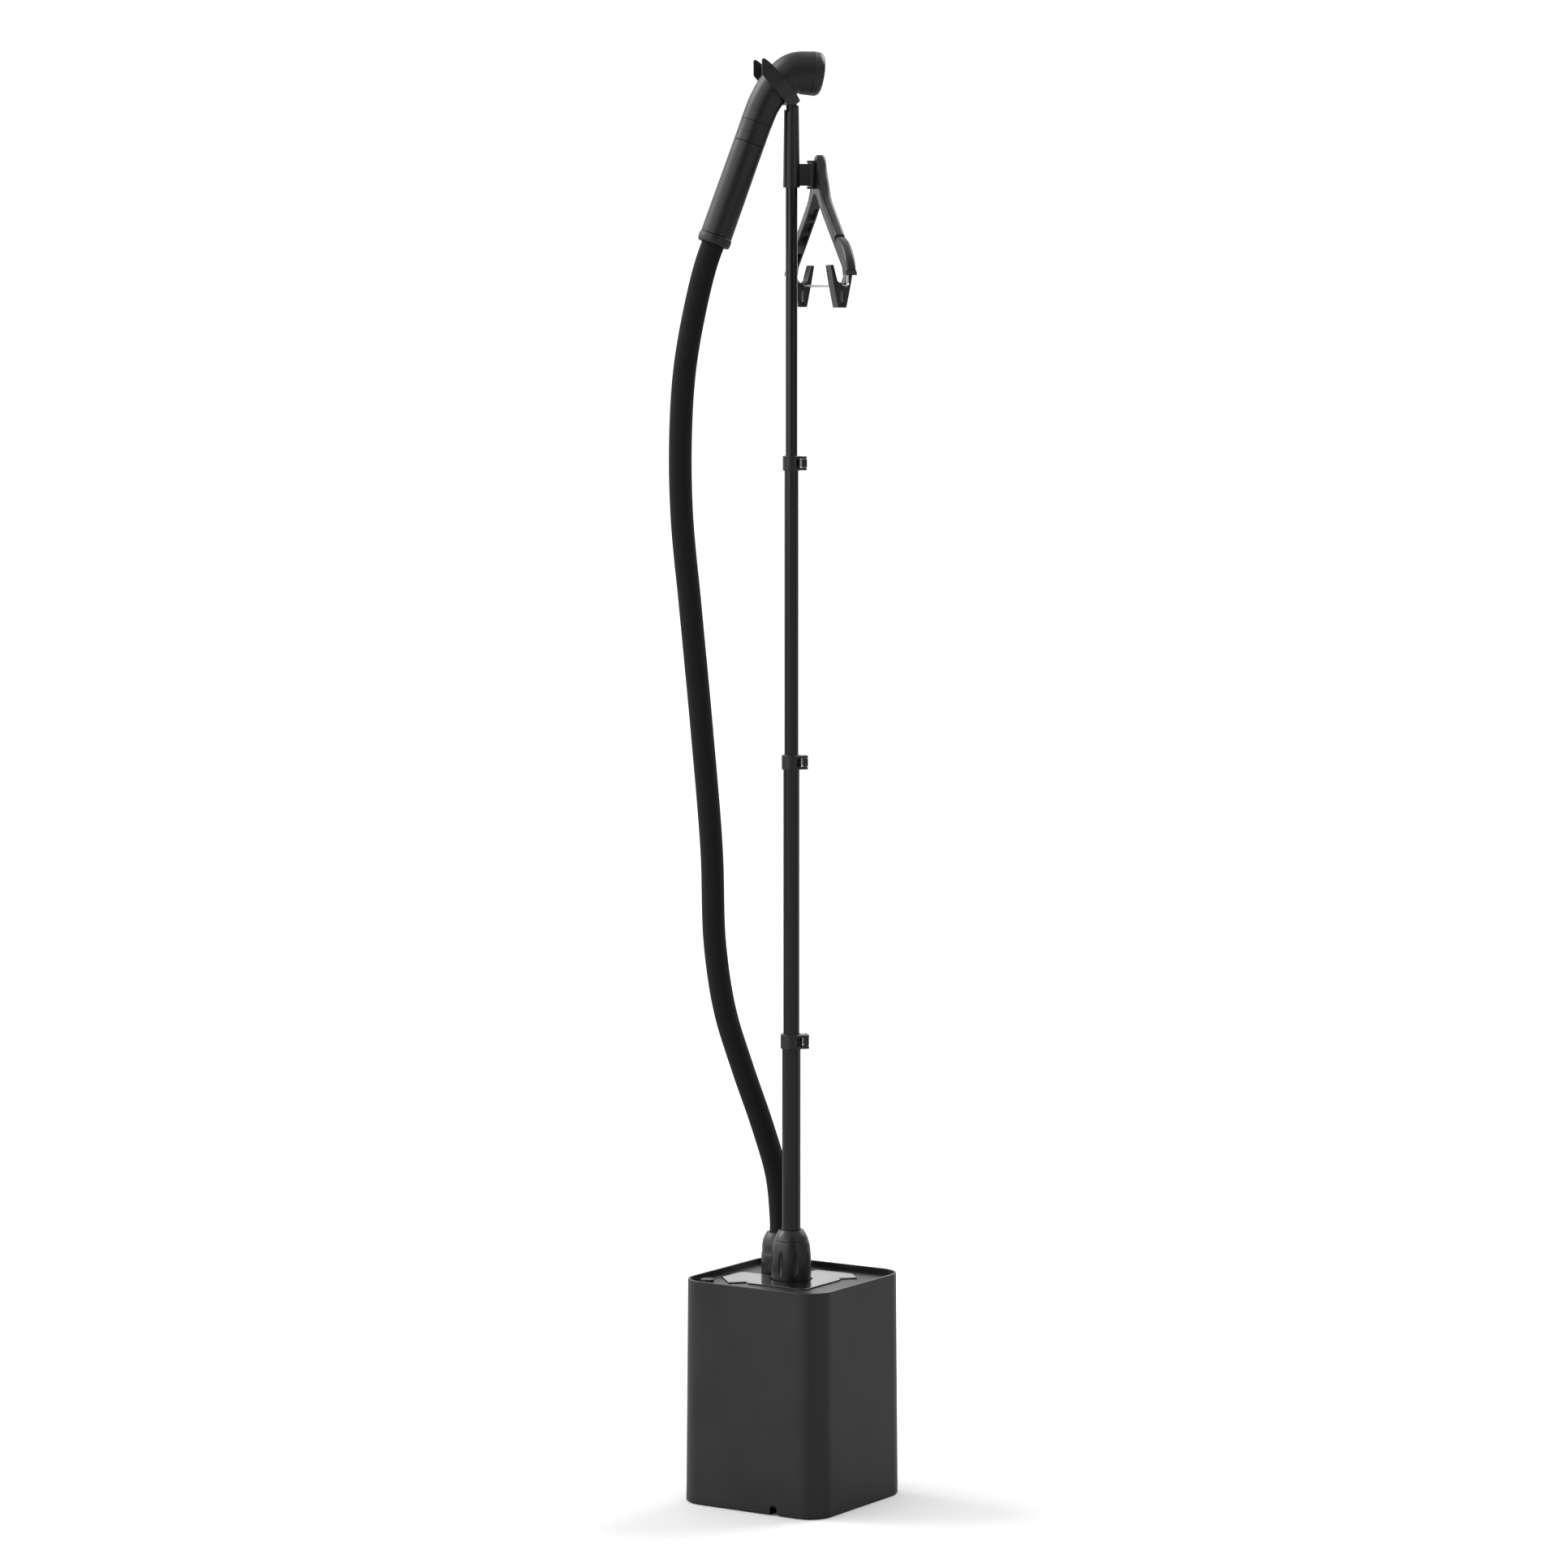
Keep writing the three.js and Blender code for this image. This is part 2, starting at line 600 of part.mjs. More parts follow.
function makeHosePort() {
  const low = deckBottom - NIPPLE_DROP;
  const nipple = turned([[NIPPLE_BORE, low], [8, low], [8, deckBottom - 4], [15, deckBottom - 4],
    [15, deckBottom - GAP], [NIPPLE_RADIUS, deckBottom - GAP], [NIPPLE_RADIUS, HOSE_START - 2],
    [NIPPLE_BORE, HOSE_START - 2], [NIPPLE_BORE, low]]);
  piece(port, 'hose_port', nipple, satinBlack());
  const radius = HOSE_NUT_RADIUS;
  const skirt = radius + 1;
  const top = nutBottom + HOSE_NUT_HEIGHT;
  const mouth = HOSE_RADIUS + 2 * GAP;
  const nut = turned([[mouth, nutBottom], [skirt, nutBottom], [skirt, nutBottom + 19],
    [radius, nutBottom + 23], [radius, top - 17], [radius - 1.2, top - 9], [radius - 3.8, top - 3],
    [mouth + 3, top], [mouth, top - 1], [mouth, nutBottom]], 28);
  piece(port, 'hose_nut', nut, satinBlack());
}

function makeTubes() {
  const bottoms = [PLATE_THICKNESS + 6, ...CLAMP_LEVELS.map((level) => level - TUBE_OVERLAP)];
  const tops = [...CLAMP_LEVELS.map((level) => level + CLAMP_HEIGHT - 2), SLEEVE_TOP - 28];
  for (let stage = 0; stage < 4; stage += 1) {
    const radius = tubeRadius(stage);
    const geometry = tube(radius, radius - TUBE_WALL, bottoms[stage], tops[stage]);
    piece(mast, `mast_tube_${stage + 1}`, geometry, paintedTube());
  }
}

// A flip clamp on the upper end of each tube, holding the next one.
function makeClamp(stage) {
  const bottom = CLAMP_LEVELS[stage];
  const top = bottom + CLAMP_HEIGHT;
  const lower = tubeRadius(stage);
  const upper = tubeRadius(stage + 1);
  const radius = lower + CLAMP_WALL;
  const pinX = radius + CLAMP_PIN_OUT;
  const pinY = CLAMP_PIN_ASIDE;
  const pinHole = tube(CLAMP_PIN_RADIUS + GAP, 0, bottom - 1, top + 1, 12).translate(pinX, pinY, 0);
  const ear = outline([[0, -radius], [pinX + 2.9, -radius], [pinX + 2.9, -4.6], [radius + 1, 3], [0, 4]]);
  const earLow = bottom + 0.5;
  const earHigh = top - 0.5;
  const body = cut(
    join(tube(radius, 0, bottom, top), slab(ear, earLow, earLow + CLAMP_EAR),
      slab(ear, earHigh - CLAMP_EAR, earHigh)),
    tube(lower + GAP, 0, bottom - 1, top - 1.7),
    tube(upper + GAP, 0, bottom, top + 1),
    pinHole,
  );
  piece(mast, `clamp_${stage + 1}`, body, satinBlack());
  const arm = outline([[pinX - 2.6, pinY - 2.4], [pinX + 2.8, pinY - 2.8], [pinX + 3.6, 6], [pinX + 5.6, 12],
    [pinX + 2.4, 12.4], [pinX - 0.4, 7], [radius + 1.2, 4], [radius + 1.2, -4]]);
  const tab = block(pinX + 1.6, pinX + 4.4, 3, 11, bottom + 1, top - 1);
  const lever = cut(
    join(slab(arm, earLow + CLAMP_EAR + GAP, earHigh - CLAMP_EAR - GAP), tab),
    pinHole,
  );
  piece(mast, `clamp_lever_${stage + 1}`, lever, satinBlack());
  const pin = tube(CLAMP_PIN_RADIUS, 0, earLow, earHigh, 12).translate(pinX, pinY, 0);
  piece(mast, `clamp_pin_${stage + 1}`, pin, steel());
}

// ---- Cradle and sleeve on the mast's top ----

// The cradle's band stands square to the handset's neck.
const neckAtCradle = new THREE.Vector3(-17.9, 0, 1641.6);
const cradleTilt = THREE.MathUtils.degToRad(50.6);
const cradleEnd = CRADLE_GAP + CRADLE_WALL + 5;

// Local z of the cradle is the neck's direction, local x points down towards the mast.
function placed(geometry) {
  return geometry.rotateY(cradleTilt).translate(neckAtCradle.x, 0, neckAtCradle.z);
}

function makeSleeve() {
  const bore = TOP_TUBE_RADIUS + GAP;
  const sleeve = turned([[bore, SLEEVE_BOTTOM], [bore + 2.6, SLEEVE_BOTTOM], [bore + 1.3, SLEEVE_TOP],
    [bore, SLEEVE_TOP], [bore, SLEEVE_BOTTOM]]);
  const bracketTop = BRACKET_BOTTOM + BRACKET_HEIGHT;
  const bracketHalf = BRACKET_WIDTH / 2;
  const arm = join(
    block(bore + 1, PIVOT_OFFSET, -bracketHalf, bracketHalf, BRACKET_BOTTOM + 0.6, bracketTop - 0.8),
    tube(PIVOT_RADIUS, 0, BRACKET_BOTTOM, bracketTop).translate(PIVOT_OFFSET, 0, 0),
  );
  const slope = placed(block(-40, cradleEnd + GAP, -20, 20, -CRADLE_BAND / 2 - GAP, 60));
  const body = cut(
    join(sleeve, arm),
    slope,
    tube(PIVOT_PIN_RADIUS + 0.5, 0, BRACKET_BOTTOM - 1, bracketTop + 1, 16).translate(PIVOT_OFFSET, 0, 0),
  );
  piece(mast, 'mast_sleeve', body, satinBlack());
}

function makeCradle() {
  const outer = CRADLE_GAP + CRADLE_WALL;
  const shape = new THREE.Shape();
  shape.moveTo(-PRONG_LENGTH, -outer);
  shape.lineTo(0, -outer);
  shape.lineTo(outer - 8, -outer + 6);
  shape.lineTo(cradleEnd, -9);
  shape.lineTo(cradleEnd, 9);
  shape.lineTo(outer - 8, outer - 6);
  shape.lineTo(0, outer);
  shape.lineTo(-PRONG_LENGTH, outer);
  shape.lineTo(-PRONG_LENGTH, CRADLE_GAP + 0.8);
  shape.lineTo(0, CRADLE_GAP);
  shape.absarc(0, 0, CRADLE_GAP, Math.PI / 2, -Math.PI / 2, true);
  shape.lineTo(-PRONG_LENGTH, -CRADLE_GAP - 0.8);
  shape.closePath();
  const band = placed(slab(shape, -CRADLE_BAND / 2, CRADLE_BAND / 2, 14));
  const tipX = neckAtCradle.x - PRONG_LENGTH * Math.cos(cradleTilt) - 3.5;
  const tipCut = block(tipX - 60, tipX, -40, 40, SLEEVE_TOP - 100, SLEEVE_TOP + 200);
  const stem = tube(TOP_TUBE_RADIUS - 0.6, 0, SLEEVE_TOP - 24, SLEEVE_TOP + 2, 24);
  const neckRoom = placed(tube(CRADLE_GAP, 0, -30, 30, 28));
  piece(mast, 'cradle', cut(join(band, stem), tipCut, neckRoom), satinBlack());
}

// ---- Handset ----

// Points of the neck's centre line and the neck's radius there, from the collar to the face.
const neckStations = [
  [-41.4, 1598.5, 18.1], [-31.5, 1622, 18.7], [-17.9, 1641.6, 20.4], [2.5, 1655.3, 23.8],
  [22.2, 1656, HEAD_RADIUS],
];
const faceTilt = THREE.MathUtils.degToRad(98);
const neckStart = CAP_LENGTH + GRIP_LENGTH + COLLAR_LENGTH + 3 * GAP;

// A round body along the neck's centre line, thinner by a given amount and longer at both ends.
function neckBody(thinner, extra) {
  const start = onHandle(neckStart - extra);
  const face = new THREE.Vector3(Math.sin(faceTilt), 0, Math.cos(faceTilt));
  const stations = neckStations.slice(1).map(([x, z]) => new THREE.Vector3(x, 0, z));
  const line = new THREE.CatmullRomCurve3([start, ...stations], false, 'centripetal');
  const steps = 9;
  const sides = 24;
  const rings = [];
  for (let i = 0; i <= steps; i += 1) {
    const t = i / steps;
    const centre = line.getPoint(t);
    const along = line.getTangent(t);
    along.lerp(handleAxis, Math.max(0, 1 - t * 5));
    along.lerp(face, Math.max(0, t * 4 - 3)).normalize();
    const place = t * 4;
    const low = Math.min(3, Math.floor(place));
    const radius = THREE.MathUtils.lerp(neckStations[low][2], neckStations[low + 1][2], place - low);
    const up = new THREE.Vector3(-along.z, 0, along.x);
    centre.addScaledVector(face, i === steps ? extra : 0);
    rings.push({ centre, up, radius: radius - thinner });
  }
  return loft(rings, sides, new THREE.Vector3(0, 1, 0));
}

const inletBottom = HOSE_IN_HANDLE + 8;

function makeHandle() {
  const bore = HANDLE_BORE;
  const r = HANDLE_RADIUS;
  const gripStart = CAP_LENGTH + GAP;
  const gripEnd = gripStart + GRIP_LENGTH;
  const cap = turned([[bore, 0], [r + 0.6, 0], [r + 1.3, 1], [r + 1, CAP_LENGTH], [bore, CAP_LENGTH],
    [bore, 0]]);
  piece(handset, 'handle_cap', cap, satinBlack());
  const grip = turned([[bore, gripStart], [r + 0.3, gripStart], [r, gripEnd], [bore, gripEnd],
    [bore, gripStart]]);
  piece(handset, 'handle_grip', grip, satinBlack());
  const collarStart = gripEnd + GAP;
  const collarEnd = collarStart + COLLAR_LENGTH;
  const collar = turned([[bore, collarStart], [r, collarStart], [r + 0.1, collarEnd], [bore, collarEnd],
    [bore, collarStart]]);
  piece(handset, 'handle_collar', collar, satinBlack());
  const hole = STEAM_TUBE_RADIUS + 0.2;
  const inletTop = inletBottom + INLET_LENGTH;
  const inlet = turned([[hole, inletBottom], [bore - GAP, inletBottom], [bore - GAP, inletTop - 6],
    [7, inletTop], [hole, inletTop], [hole, inletBottom]]);
  piece(handset, 'steam_inlet', inlet, brass());
}

function makeHead() {
  piece(mast, 'neck', cut(neckBody(0, 0), neckBody(NECK_WALL, 3)), satinBlack());
  const face = new THREE.Group();
  face.position.set(neckStations[4][0], 0, neckStations[4][1]);
  face.rotation.y = faceTilt;
  mast.add(face);
  const r = HEAD_RADIUS;
  const end = GAP + HEAD_RING_LENGTH;
  const ring = turned([[r - NECK_WALL, GAP], [r, GAP], [r, GAP + 6], [r - 1.2, GAP + 9.6], [r - 3.6, end],
    [r - 5.4, end], [r - 5.4, end - 3], [r - NECK_WALL, end - 4.5], [r - NECK_WALL, GAP]], 28);
  piece(face, 'head_ring', ring, satinBlack());
  const plateRadius = r - 5.4 - GAP;
  const hole = tube(STEAM_HOLE_RADIUS, 0, 0, 20, 6);
  const holes = [hole];
  for (const [count, reach] of [[6, 7], [12, 14]]) {
    for (let i = 0; i < count; i += 1) {
      const angle = (2 * Math.PI * i) / count;
      holes.push(hole.clone().translate(reach * Math.cos(angle), reach * Math.sin(angle), 0));
    }
  }
  const plate = cut(tube(plateRadius, 0, end - 3.4, end - 1, 28), ...holes);
  piece(face, 'steam_plate', plate, satinBlack());
}

function makeSteamTube() {
  const points = [onHandle(inletBottom + INLET_LENGTH + GAP), onHandle(neckStart)].map((p) => p.toArray());
  points.push(...neckStations.slice(1, 4).map(([x, z]) => [x, 0, z]));
  points.push([neckStations[4][0] + 2, 0, neckStations[4][1] - 0.6]);
  piece(mast, 'steam_tube', swept(points, STEAM_TUBE_RADIUS, 8, 16), steel());
}

// ---- Hanger ----

// Half of the hanger's outline as (across, up), from the crest out along the arm and back.
const hangerTop = [[0, 1563], [4, 1561.8], [8, 1557], [14, 1546], [23, 1534], [37, 1515], [65, 1497],
  [97, 1478], [107, 1471.5], [107, 1464], [114, 1460], [114, 1467], [128, 1465], [146, 1456],
  [160, 1443], [168, 1425]];
const hangerUnderside = [[150, 1425], [146, 1434], [43, 1493], [26, 1504], [9, 1517], [0, 1519]];
const hangerBack = HANGER_OFFSET - HANGER_THICKNESS / 2;
const hangerFront = HANGER_OFFSET + HANGER_THICKNESS / 2;

// A pocket between two ribs of an arm, open below: from and to are its ends across the hanger.
function ribPocket(side, from, to, rise) {
  const wall = 1.8;
  const slope = 0.573;
  const floor = (y) => 1503 - slope * (y - 26);
  const shape = outline([[side * from, floor(from) - 9], [side * to, floor(to) - 9],
    [side * to, floor(to) + rise], [side * from, floor(from) + rise]]);
  return sideways(shape, hangerBack + wall, hangerFront - wall);
}

function makeHanger() {
  const right = [...hangerTop, ...hangerUnderside];
  const left = right.slice(1, -1).reverse().map(([y, z]) => [-y, z]);
  const plate = sideways(outline([...right, ...left]), hangerBack, hangerFront);
  const pockets = [-1, 1].flatMap((side) => [
    ribPocket(side, 30, 52, 5.5),
    ribPocket(side, 55, 77, 5.5),
    ribPocket(side, 80, 101, 5.5),
    ribPocket(side, 117, 138, 12),
    tube(BAR_RADIUS + GAP, 0, BAR_LEVEL + 7, BAR_END + 3, 12).translate(HANGER_OFFSET, side * BAR_REACH, 0),
  ]);
  const bracketTop = BRACKET_BOTTOM + BRACKET_HEIGHT;
  const lugRadius = PIVOT_RADIUS + 0.8;
  const lugHeight = 2.7;
  const lugs = [BRACKET_BOTTOM - GAP - lugHeight, bracketTop + GAP].map((z) => join(
    tube(lugRadius, 0, z, z + lugHeight).translate(PIVOT_OFFSET, 0, 0),
    block(PIVOT_OFFSET, hangerBack + 1, -lugRadius, lugRadius, z, z + lugHeight),
  ));
  const recess = tube(PIVOT_RADIUS + 2 * GAP, 0, BRACKET_BOTTOM - GAP, bracketTop + GAP);
  const pinHole = tube(PIVOT_PIN_RADIUS + GAP, 0, BRACKET_BOTTOM - 9, bracketTop + 4, 16);
  const cuts = [recess, pinHole].map((g) => g.translate(PIVOT_OFFSET, 0, 0));
  piece(mast, 'hanger', cut(join(plate, ...lugs), ...cuts, ...pockets), satinBlack());
  const pin = tube(PIVOT_PIN_RADIUS, 0, BRACKET_BOTTOM - 3, bracketTop + 3, 16);
  piece(mast, 'hanger_pin', pin.translate(PIVOT_OFFSET, 0, 0), steel());
}

// The trouser bar: a wire with both ends turned up into the arms.
function makeBar() {
  const bend = 5;
  const half = [[BAR_REACH - bend, BAR_LEVEL], [BAR_REACH - 0.3 * bend, BAR_LEVEL + 0.3 * bend],
    [BAR_REACH, BAR_LEVEL + bend], [BAR_REACH, BAR_END]];
  const other = half.map(([y, z]) => [-y, z]).reverse();
  const points = [...other, ...half].map(([y, z]) => new THREE.Vector3(HANGER_OFFSET, y, z));
  const rings = points.map((centre, i) => {
    const before = points[Math.max(0, i - 1)];
    const after = points[Math.min(points.length - 1, i + 1)];
    const along = after.clone().sub(before).normalize();
    return { centre, up: new THREE.Vector3(0, -along.z, along.y), radius: BAR_RADIUS };
  });
  piece(mast, 'trouser_bar', loft(rings, 10, new THREE.Vector3(1, 0, 0)), steel());
}

// A jaw's outline, as (out from the bar, up), with a step for the spring and a slot below it.
const jawProfile = [[-0.35, -24.5], [-4.9, -24.5], [-10.4, 4], [-13.6, 23.5], [-10.2, 24], [-5.4, 5.6],
  [-2.6, 3.4], [-0.9, 2.6], [-0.35, 0], [-0.35, -5], [-1.6, -6.5], [-1.6, -17], [-0.35, -18.5]];

// A spring clip seen from its end: two jaws on the bar, mirror images of each other.
function makeClip(number, centre) {
  const y0 = centre - CLIP_LENGTH / 2;
  const y1 = centre + CLIP_LENGTH / 2;
  const onBar = (geometry) => geometry.rotateX(Math.PI / 2).translate(HANGER_OFFSET, 0, BAR_LEVEL);
  const barHole = onBar(tube(BAR_RADIUS + GAP, 0, -y1 - 1, 1 - y0, 12));
  const [springStart, springEnd] = [-centre - SPRING_LENGTH / 2, -centre + SPRING_LENGTH / 2];
  const springRoom = onBar(tube(SPRING_RADIUS + 0.5, 0, springStart - 0.4, springEnd + 0.4, 16));
  for (const [name, side] of [['jaw', 1], ['press', -1]]) {
    const shape = outline(jawProfile.map(([x, z]) => [side * x, z]));
    const jaw = upright(shape, y0, y1).translate(HANGER_OFFSET, 0, BAR_LEVEL);
    piece(mast, `clip_${name}_${number}`, cut(jaw, barHole, springRoom), satinBlack());
  }
  const coil = onBar(tube(SPRING_RADIUS, BAR_RADIUS + GAP, springStart, springEnd, 16));
  piece(mast, `clip_spring_${number}`, coil, steel());
}

// ---- Hose ----

// From the port, out to the left of the mast and up into the handle. x, y, z in the base's frame.
const hoseRoute = [
  [PORT_X, PORT_Y, HOSE_START], [PORT_X - 1, PORT_Y, 322], [38, 47, 372], [24, 57, 430], [3, 72, 502],
  [-14, 85, 570], [-26, 91, 650], [-34, 90, 760], [-48, 94, 900], [-62, 100, 1040], [-74, 104, 1150],
  [-78.5, 102.5, 1240],
  [-78, 96.5, 1320], [-71, 85, 1395],
];

function makeHose() {
  const inside = [-22, 6, HOSE_IN_HANDLE].map((reach) => {
    const p = onHandle(reach).applyAxisAngle(new THREE.Vector3(0, 0, 1), -Math.PI / 4);
    return [p.x + MAST_X, p.y + MAST_Y, p.z];
  });
  piece(steamer, 'steam_hose', swept([...hoseRoute, ...inside], HOSE_RADIUS, 10, 36), softBlack());
}

makeHousing();
makeFloorPlate();
makeTank();
makeTankCap();
makeTankSeat();
makeDeck();
makeButton();
makeBoiler();
makePump();
makeBoard();
makeBasePipes();
makeSocket();
makeMastNut();
makeHosePort();
makeTubes();
for (let stage = 0; stage < 3; stage += 1) makeClamp(stage);
makeSleeve();
makeCradle();
makeHandle();
makeHead();
makeSteamTube();
makeHanger();
makeBar();
makeClip(1, -CLIP_REACH);
makeClip(2, CLIP_REACH);
makeHose();

export default steamer;
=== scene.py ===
import json
import math
import bpy
from mathutils import Matrix, Vector


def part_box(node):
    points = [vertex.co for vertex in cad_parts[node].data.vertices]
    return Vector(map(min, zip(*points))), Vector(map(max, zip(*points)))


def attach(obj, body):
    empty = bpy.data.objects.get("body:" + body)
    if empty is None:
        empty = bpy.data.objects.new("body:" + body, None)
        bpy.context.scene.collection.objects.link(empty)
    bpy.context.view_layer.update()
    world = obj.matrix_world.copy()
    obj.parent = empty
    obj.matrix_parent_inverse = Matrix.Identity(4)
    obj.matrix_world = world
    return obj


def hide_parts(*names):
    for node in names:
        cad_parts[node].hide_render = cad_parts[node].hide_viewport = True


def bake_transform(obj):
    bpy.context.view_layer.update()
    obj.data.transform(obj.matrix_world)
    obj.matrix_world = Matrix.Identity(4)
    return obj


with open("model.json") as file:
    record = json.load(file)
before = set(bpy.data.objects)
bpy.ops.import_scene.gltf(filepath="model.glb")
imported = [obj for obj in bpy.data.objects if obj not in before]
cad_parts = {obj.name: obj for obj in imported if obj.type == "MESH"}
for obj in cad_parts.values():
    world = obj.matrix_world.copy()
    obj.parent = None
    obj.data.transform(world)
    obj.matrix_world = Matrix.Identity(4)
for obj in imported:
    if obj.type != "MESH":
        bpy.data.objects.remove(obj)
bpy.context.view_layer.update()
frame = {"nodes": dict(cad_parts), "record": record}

print("frame loaded")


def deselect():
    for other in list(bpy.context.selected_objects):
        other.select_set(False)


def makeActive(piece):
    deselect()
    piece.select_set(True)
    bpy.context.view_layer.objects.active = piece


def linear(hexColour):
    values = []
    for i in (1, 3, 5):
        c = int(hexColour[i:i + 2], 16) / 255
        values.append(c / 12.92 if c <= 0.04045 else ((c + 0.055) / 1.055) ** 2.4)
    return (*values, 1)


def addNode(tree, kind, settings=None, links=None):
    made = tree.nodes.new(kind)
    for key, value in (settings or {}).items():
        if key in made.inputs:
            made.inputs[key].default_value = value
        else:
            setattr(made, key, value)
    for key, source in (links or {}).items():
        tree.links.new(source, made.inputs[key])
    return made


def newMaterial(name, settings):
    material = bpy.data.materials.new(name)
    material.use_nodes = True
    tree = material.node_tree
    shader = tree.nodes["Principled BSDF"]
    for key, value in settings.items():
        shader.inputs[key].default_value = value
    return material, tree, shader


def applyModifiers(piece):
    makeActive(piece)
    for modifier in list(piece.modifiers):
        bpy.ops.object.modifier_apply(modifier=modifier.name)


def applyPlace():
    bpy.ops.object.transform_apply(location=True, rotation=True, scale=True)


def settle(piece, matrix):
    piece.matrix_world = matrix @ piece.matrix_world
    makeActive(piece)
    applyPlace()


def bevelled(piece, width, segments=3, angle=30):
    bevel = piece.modifiers.new("edges", "BEVEL")
    bevel.width = width
    bevel.segments = segments
    bevel.limit_method = "ANGLE"
    bevel.angle_limit = math.radians(angle)
    applyModifiers(piece)


# Faces with many corners are split first, so that they stay flat.
def smoothed(piece, angle=35):
    split = piece.modifiers.new("split", "TRIANGULATE")
    split.min_vertices = 5
    split.ngon_method = "CLIP"
    applyModifiers(piece)
    bpy.ops.object.shade_smooth_by_angle(angle=math.radians(angle))
    flat = piece.modifiers.new("flat", "WEIGHTED_NORMAL")
    flat.keep_sharp = True
    applyModifiers(piece)


def bodyOf(node):
    for body, nodes in frame["record"]["behaviour"]["bodies"].items():
        if node in nodes:
            return body


# Names a finished piece, gives it its material and puts it in its CAD node's stead.
def finished(piece, name, material, node):
    piece.name = name
    piece.data.name = name
    piece.data.materials.clear()
    piece.data.materials.append(material)
    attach(piece, bodyOf(node))
    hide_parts(node)


# A circle drawn up and scaled ring by ring into a round piece. Its ends are joined into a tube or closed off.
def turnedPiece(profile, segments=64, closedRing=True):
    deselect()
    radius, height = profile[0]
    bpy.ops.mesh.primitive_circle_add(vertices=segments, radius=radius)
    piece = bpy.context.object
    bpy.ops.object.mode_set(mode="EDIT")
    bpy.ops.mesh.select_all(action="SELECT")
    bpy.ops.transform.translate(value=(0, 0, height))
    for nextRadius, nextHeight in profile[1:]:
        bpy.ops.mesh.extrude_region_move(TRANSFORM_OT_translate={"value": (0, 0, nextHeight - height)})
        grow = nextRadius / radius
        bpy.ops.transform.resize(value=(grow, grow, 1), center_override=(0, 0, nextHeight))
        radius, height = nextRadius, nextHeight
    bpy.ops.mesh.select_all(action="DESELECT")
    bpy.ops.mesh.select_non_manifold()
    if closedRing:
        bpy.ops.mesh.bridge_edge_loops()
    else:
        bpy.ops.mesh.select_all(action="SELECT")
        bpy.ops.mesh.fill_holes(sides=0)
    bpy.ops.mesh.select_all(action="SELECT")
    bpy.ops.mesh.normals_make_consistent(inside=False)
    bpy.ops.object.mode_set(mode="OBJECT")
    return piece


# A CAD node's own shape with its corners merged, flats joined and edges rounded.
def softened(node, width, segments=3, angle=30):
    piece = bpy.data.objects.new(node + "_soft", frame["nodes"][node].data.copy())
    bpy.context.scene.collection.objects.link(piece)
    makeActive(piece)
    bpy.ops.object.mode_set(mode="EDIT")
    bpy.ops.mesh.select_all(action="SELECT")
    bpy.ops.mesh.remove_doubles(threshold=0.00002)
    bpy.ops.mesh.dissolve_limited(angle_limit=math.radians(1))
    bpy.ops.object.mode_set(mode="OBJECT")
    bevelled(piece, width, segments, angle)
    smoothed(piece)
    return piece


# A run of evenly spaced values, both ends included.
def steps(start, end, count):
    return [start + (end - start) * i / count for i in range(count + 1)]


# Goes into edit mode with the vertices, edges or faces selected whose corners pass a test.
def pick(piece, kind, test):
    makeActive(piece)
    bpy.ops.object.mode_set(mode="EDIT")
    bpy.ops.mesh.select_mode(type=kind)
    bpy.ops.mesh.select_all(action="DESELECT")
    bpy.ops.object.mode_set(mode="OBJECT")
    vertices = piece.data.vertices
    items = {"VERT": vertices, "EDGE": piece.data.edges, "FACE": piece.data.polygons}[kind]
    for item in items:
        item.select = test([item.co] if kind == "VERT" else [vertices[i].co for i in item.vertices])
    bpy.ops.object.mode_set(mode="EDIT")


# A flat shape walked round its outline edge by edge, filled and drawn up.
def drawnSlab(points, low, high):
    deselect()
    bpy.ops.mesh.primitive_plane_add(size=0.001)
    piece = bpy.context.object
    bpy.ops.object.mode_set(mode="EDIT")
    bpy.ops.mesh.select_mode(type="VERT")
    bpy.ops.mesh.select_all(action="SELECT")
    bpy.ops.mesh.merge(type="CENTER")
    bpy.ops.transform.translate(value=(points[0][0], points[0][1], low))
    for (x0, y0), (x1, y1) in zip(points, [*points[1:], points[0]]):
        bpy.ops.mesh.extrude_region_move(TRANSFORM_OT_translate={"value": (x1 - x0, y1 - y0, 0)})
    bpy.ops.mesh.select_all(action="SELECT")
    bpy.ops.mesh.remove_doubles(threshold=0.00001)
    bpy.ops.mesh.edge_face_add()
    bpy.ops.mesh.extrude_region_move(TRANSFORM_OT_translate={"value": (0, 0, high - low)})
    bpy.ops.mesh.select_all(action="SELECT")
    bpy.ops.mesh.normals_make_consistent(inside=False)
    bpy.ops.object.mode_set(mode="OBJECT")
    return piece


# A box and a rod to cut with, each added at its size and place.
def boxAt(place, size, turn=(0, 0, 0)):
    deselect()
    bpy.ops.mesh.primitive_cube_add(size=1, location=place, rotation=turn, scale=size)
    return bpy.context.object


def rodAt(place, radius, length, sides, turn=(0, 0, 0)):
    deselect()
    bpy.ops.mesh.primitive_cylinder_add(vertices=sides, radius=radius, depth=length, location=place,
                                        rotation=turn)
    return bpy.context.object


def boolean(piece, other, operation):
    change = piece.modifiers.new("change", "BOOLEAN")
    change.operation = operation
    change.solver = "EXACT"
    change.object = other
    applyModifiers(piece)
    bpy.data.objects.remove(other)


def cutAway(piece, cutter):
    boolean(piece, cutter, "DIFFERENCE")


def fuse(piece, other):
    boolean(piece, other, "UNION")


def joined(pieces):
    makeActive(pieces[0])
    for other in pieces[1:]:
        other.select_set(True)
    bpy.ops.object.join()
    return bpy.context.object


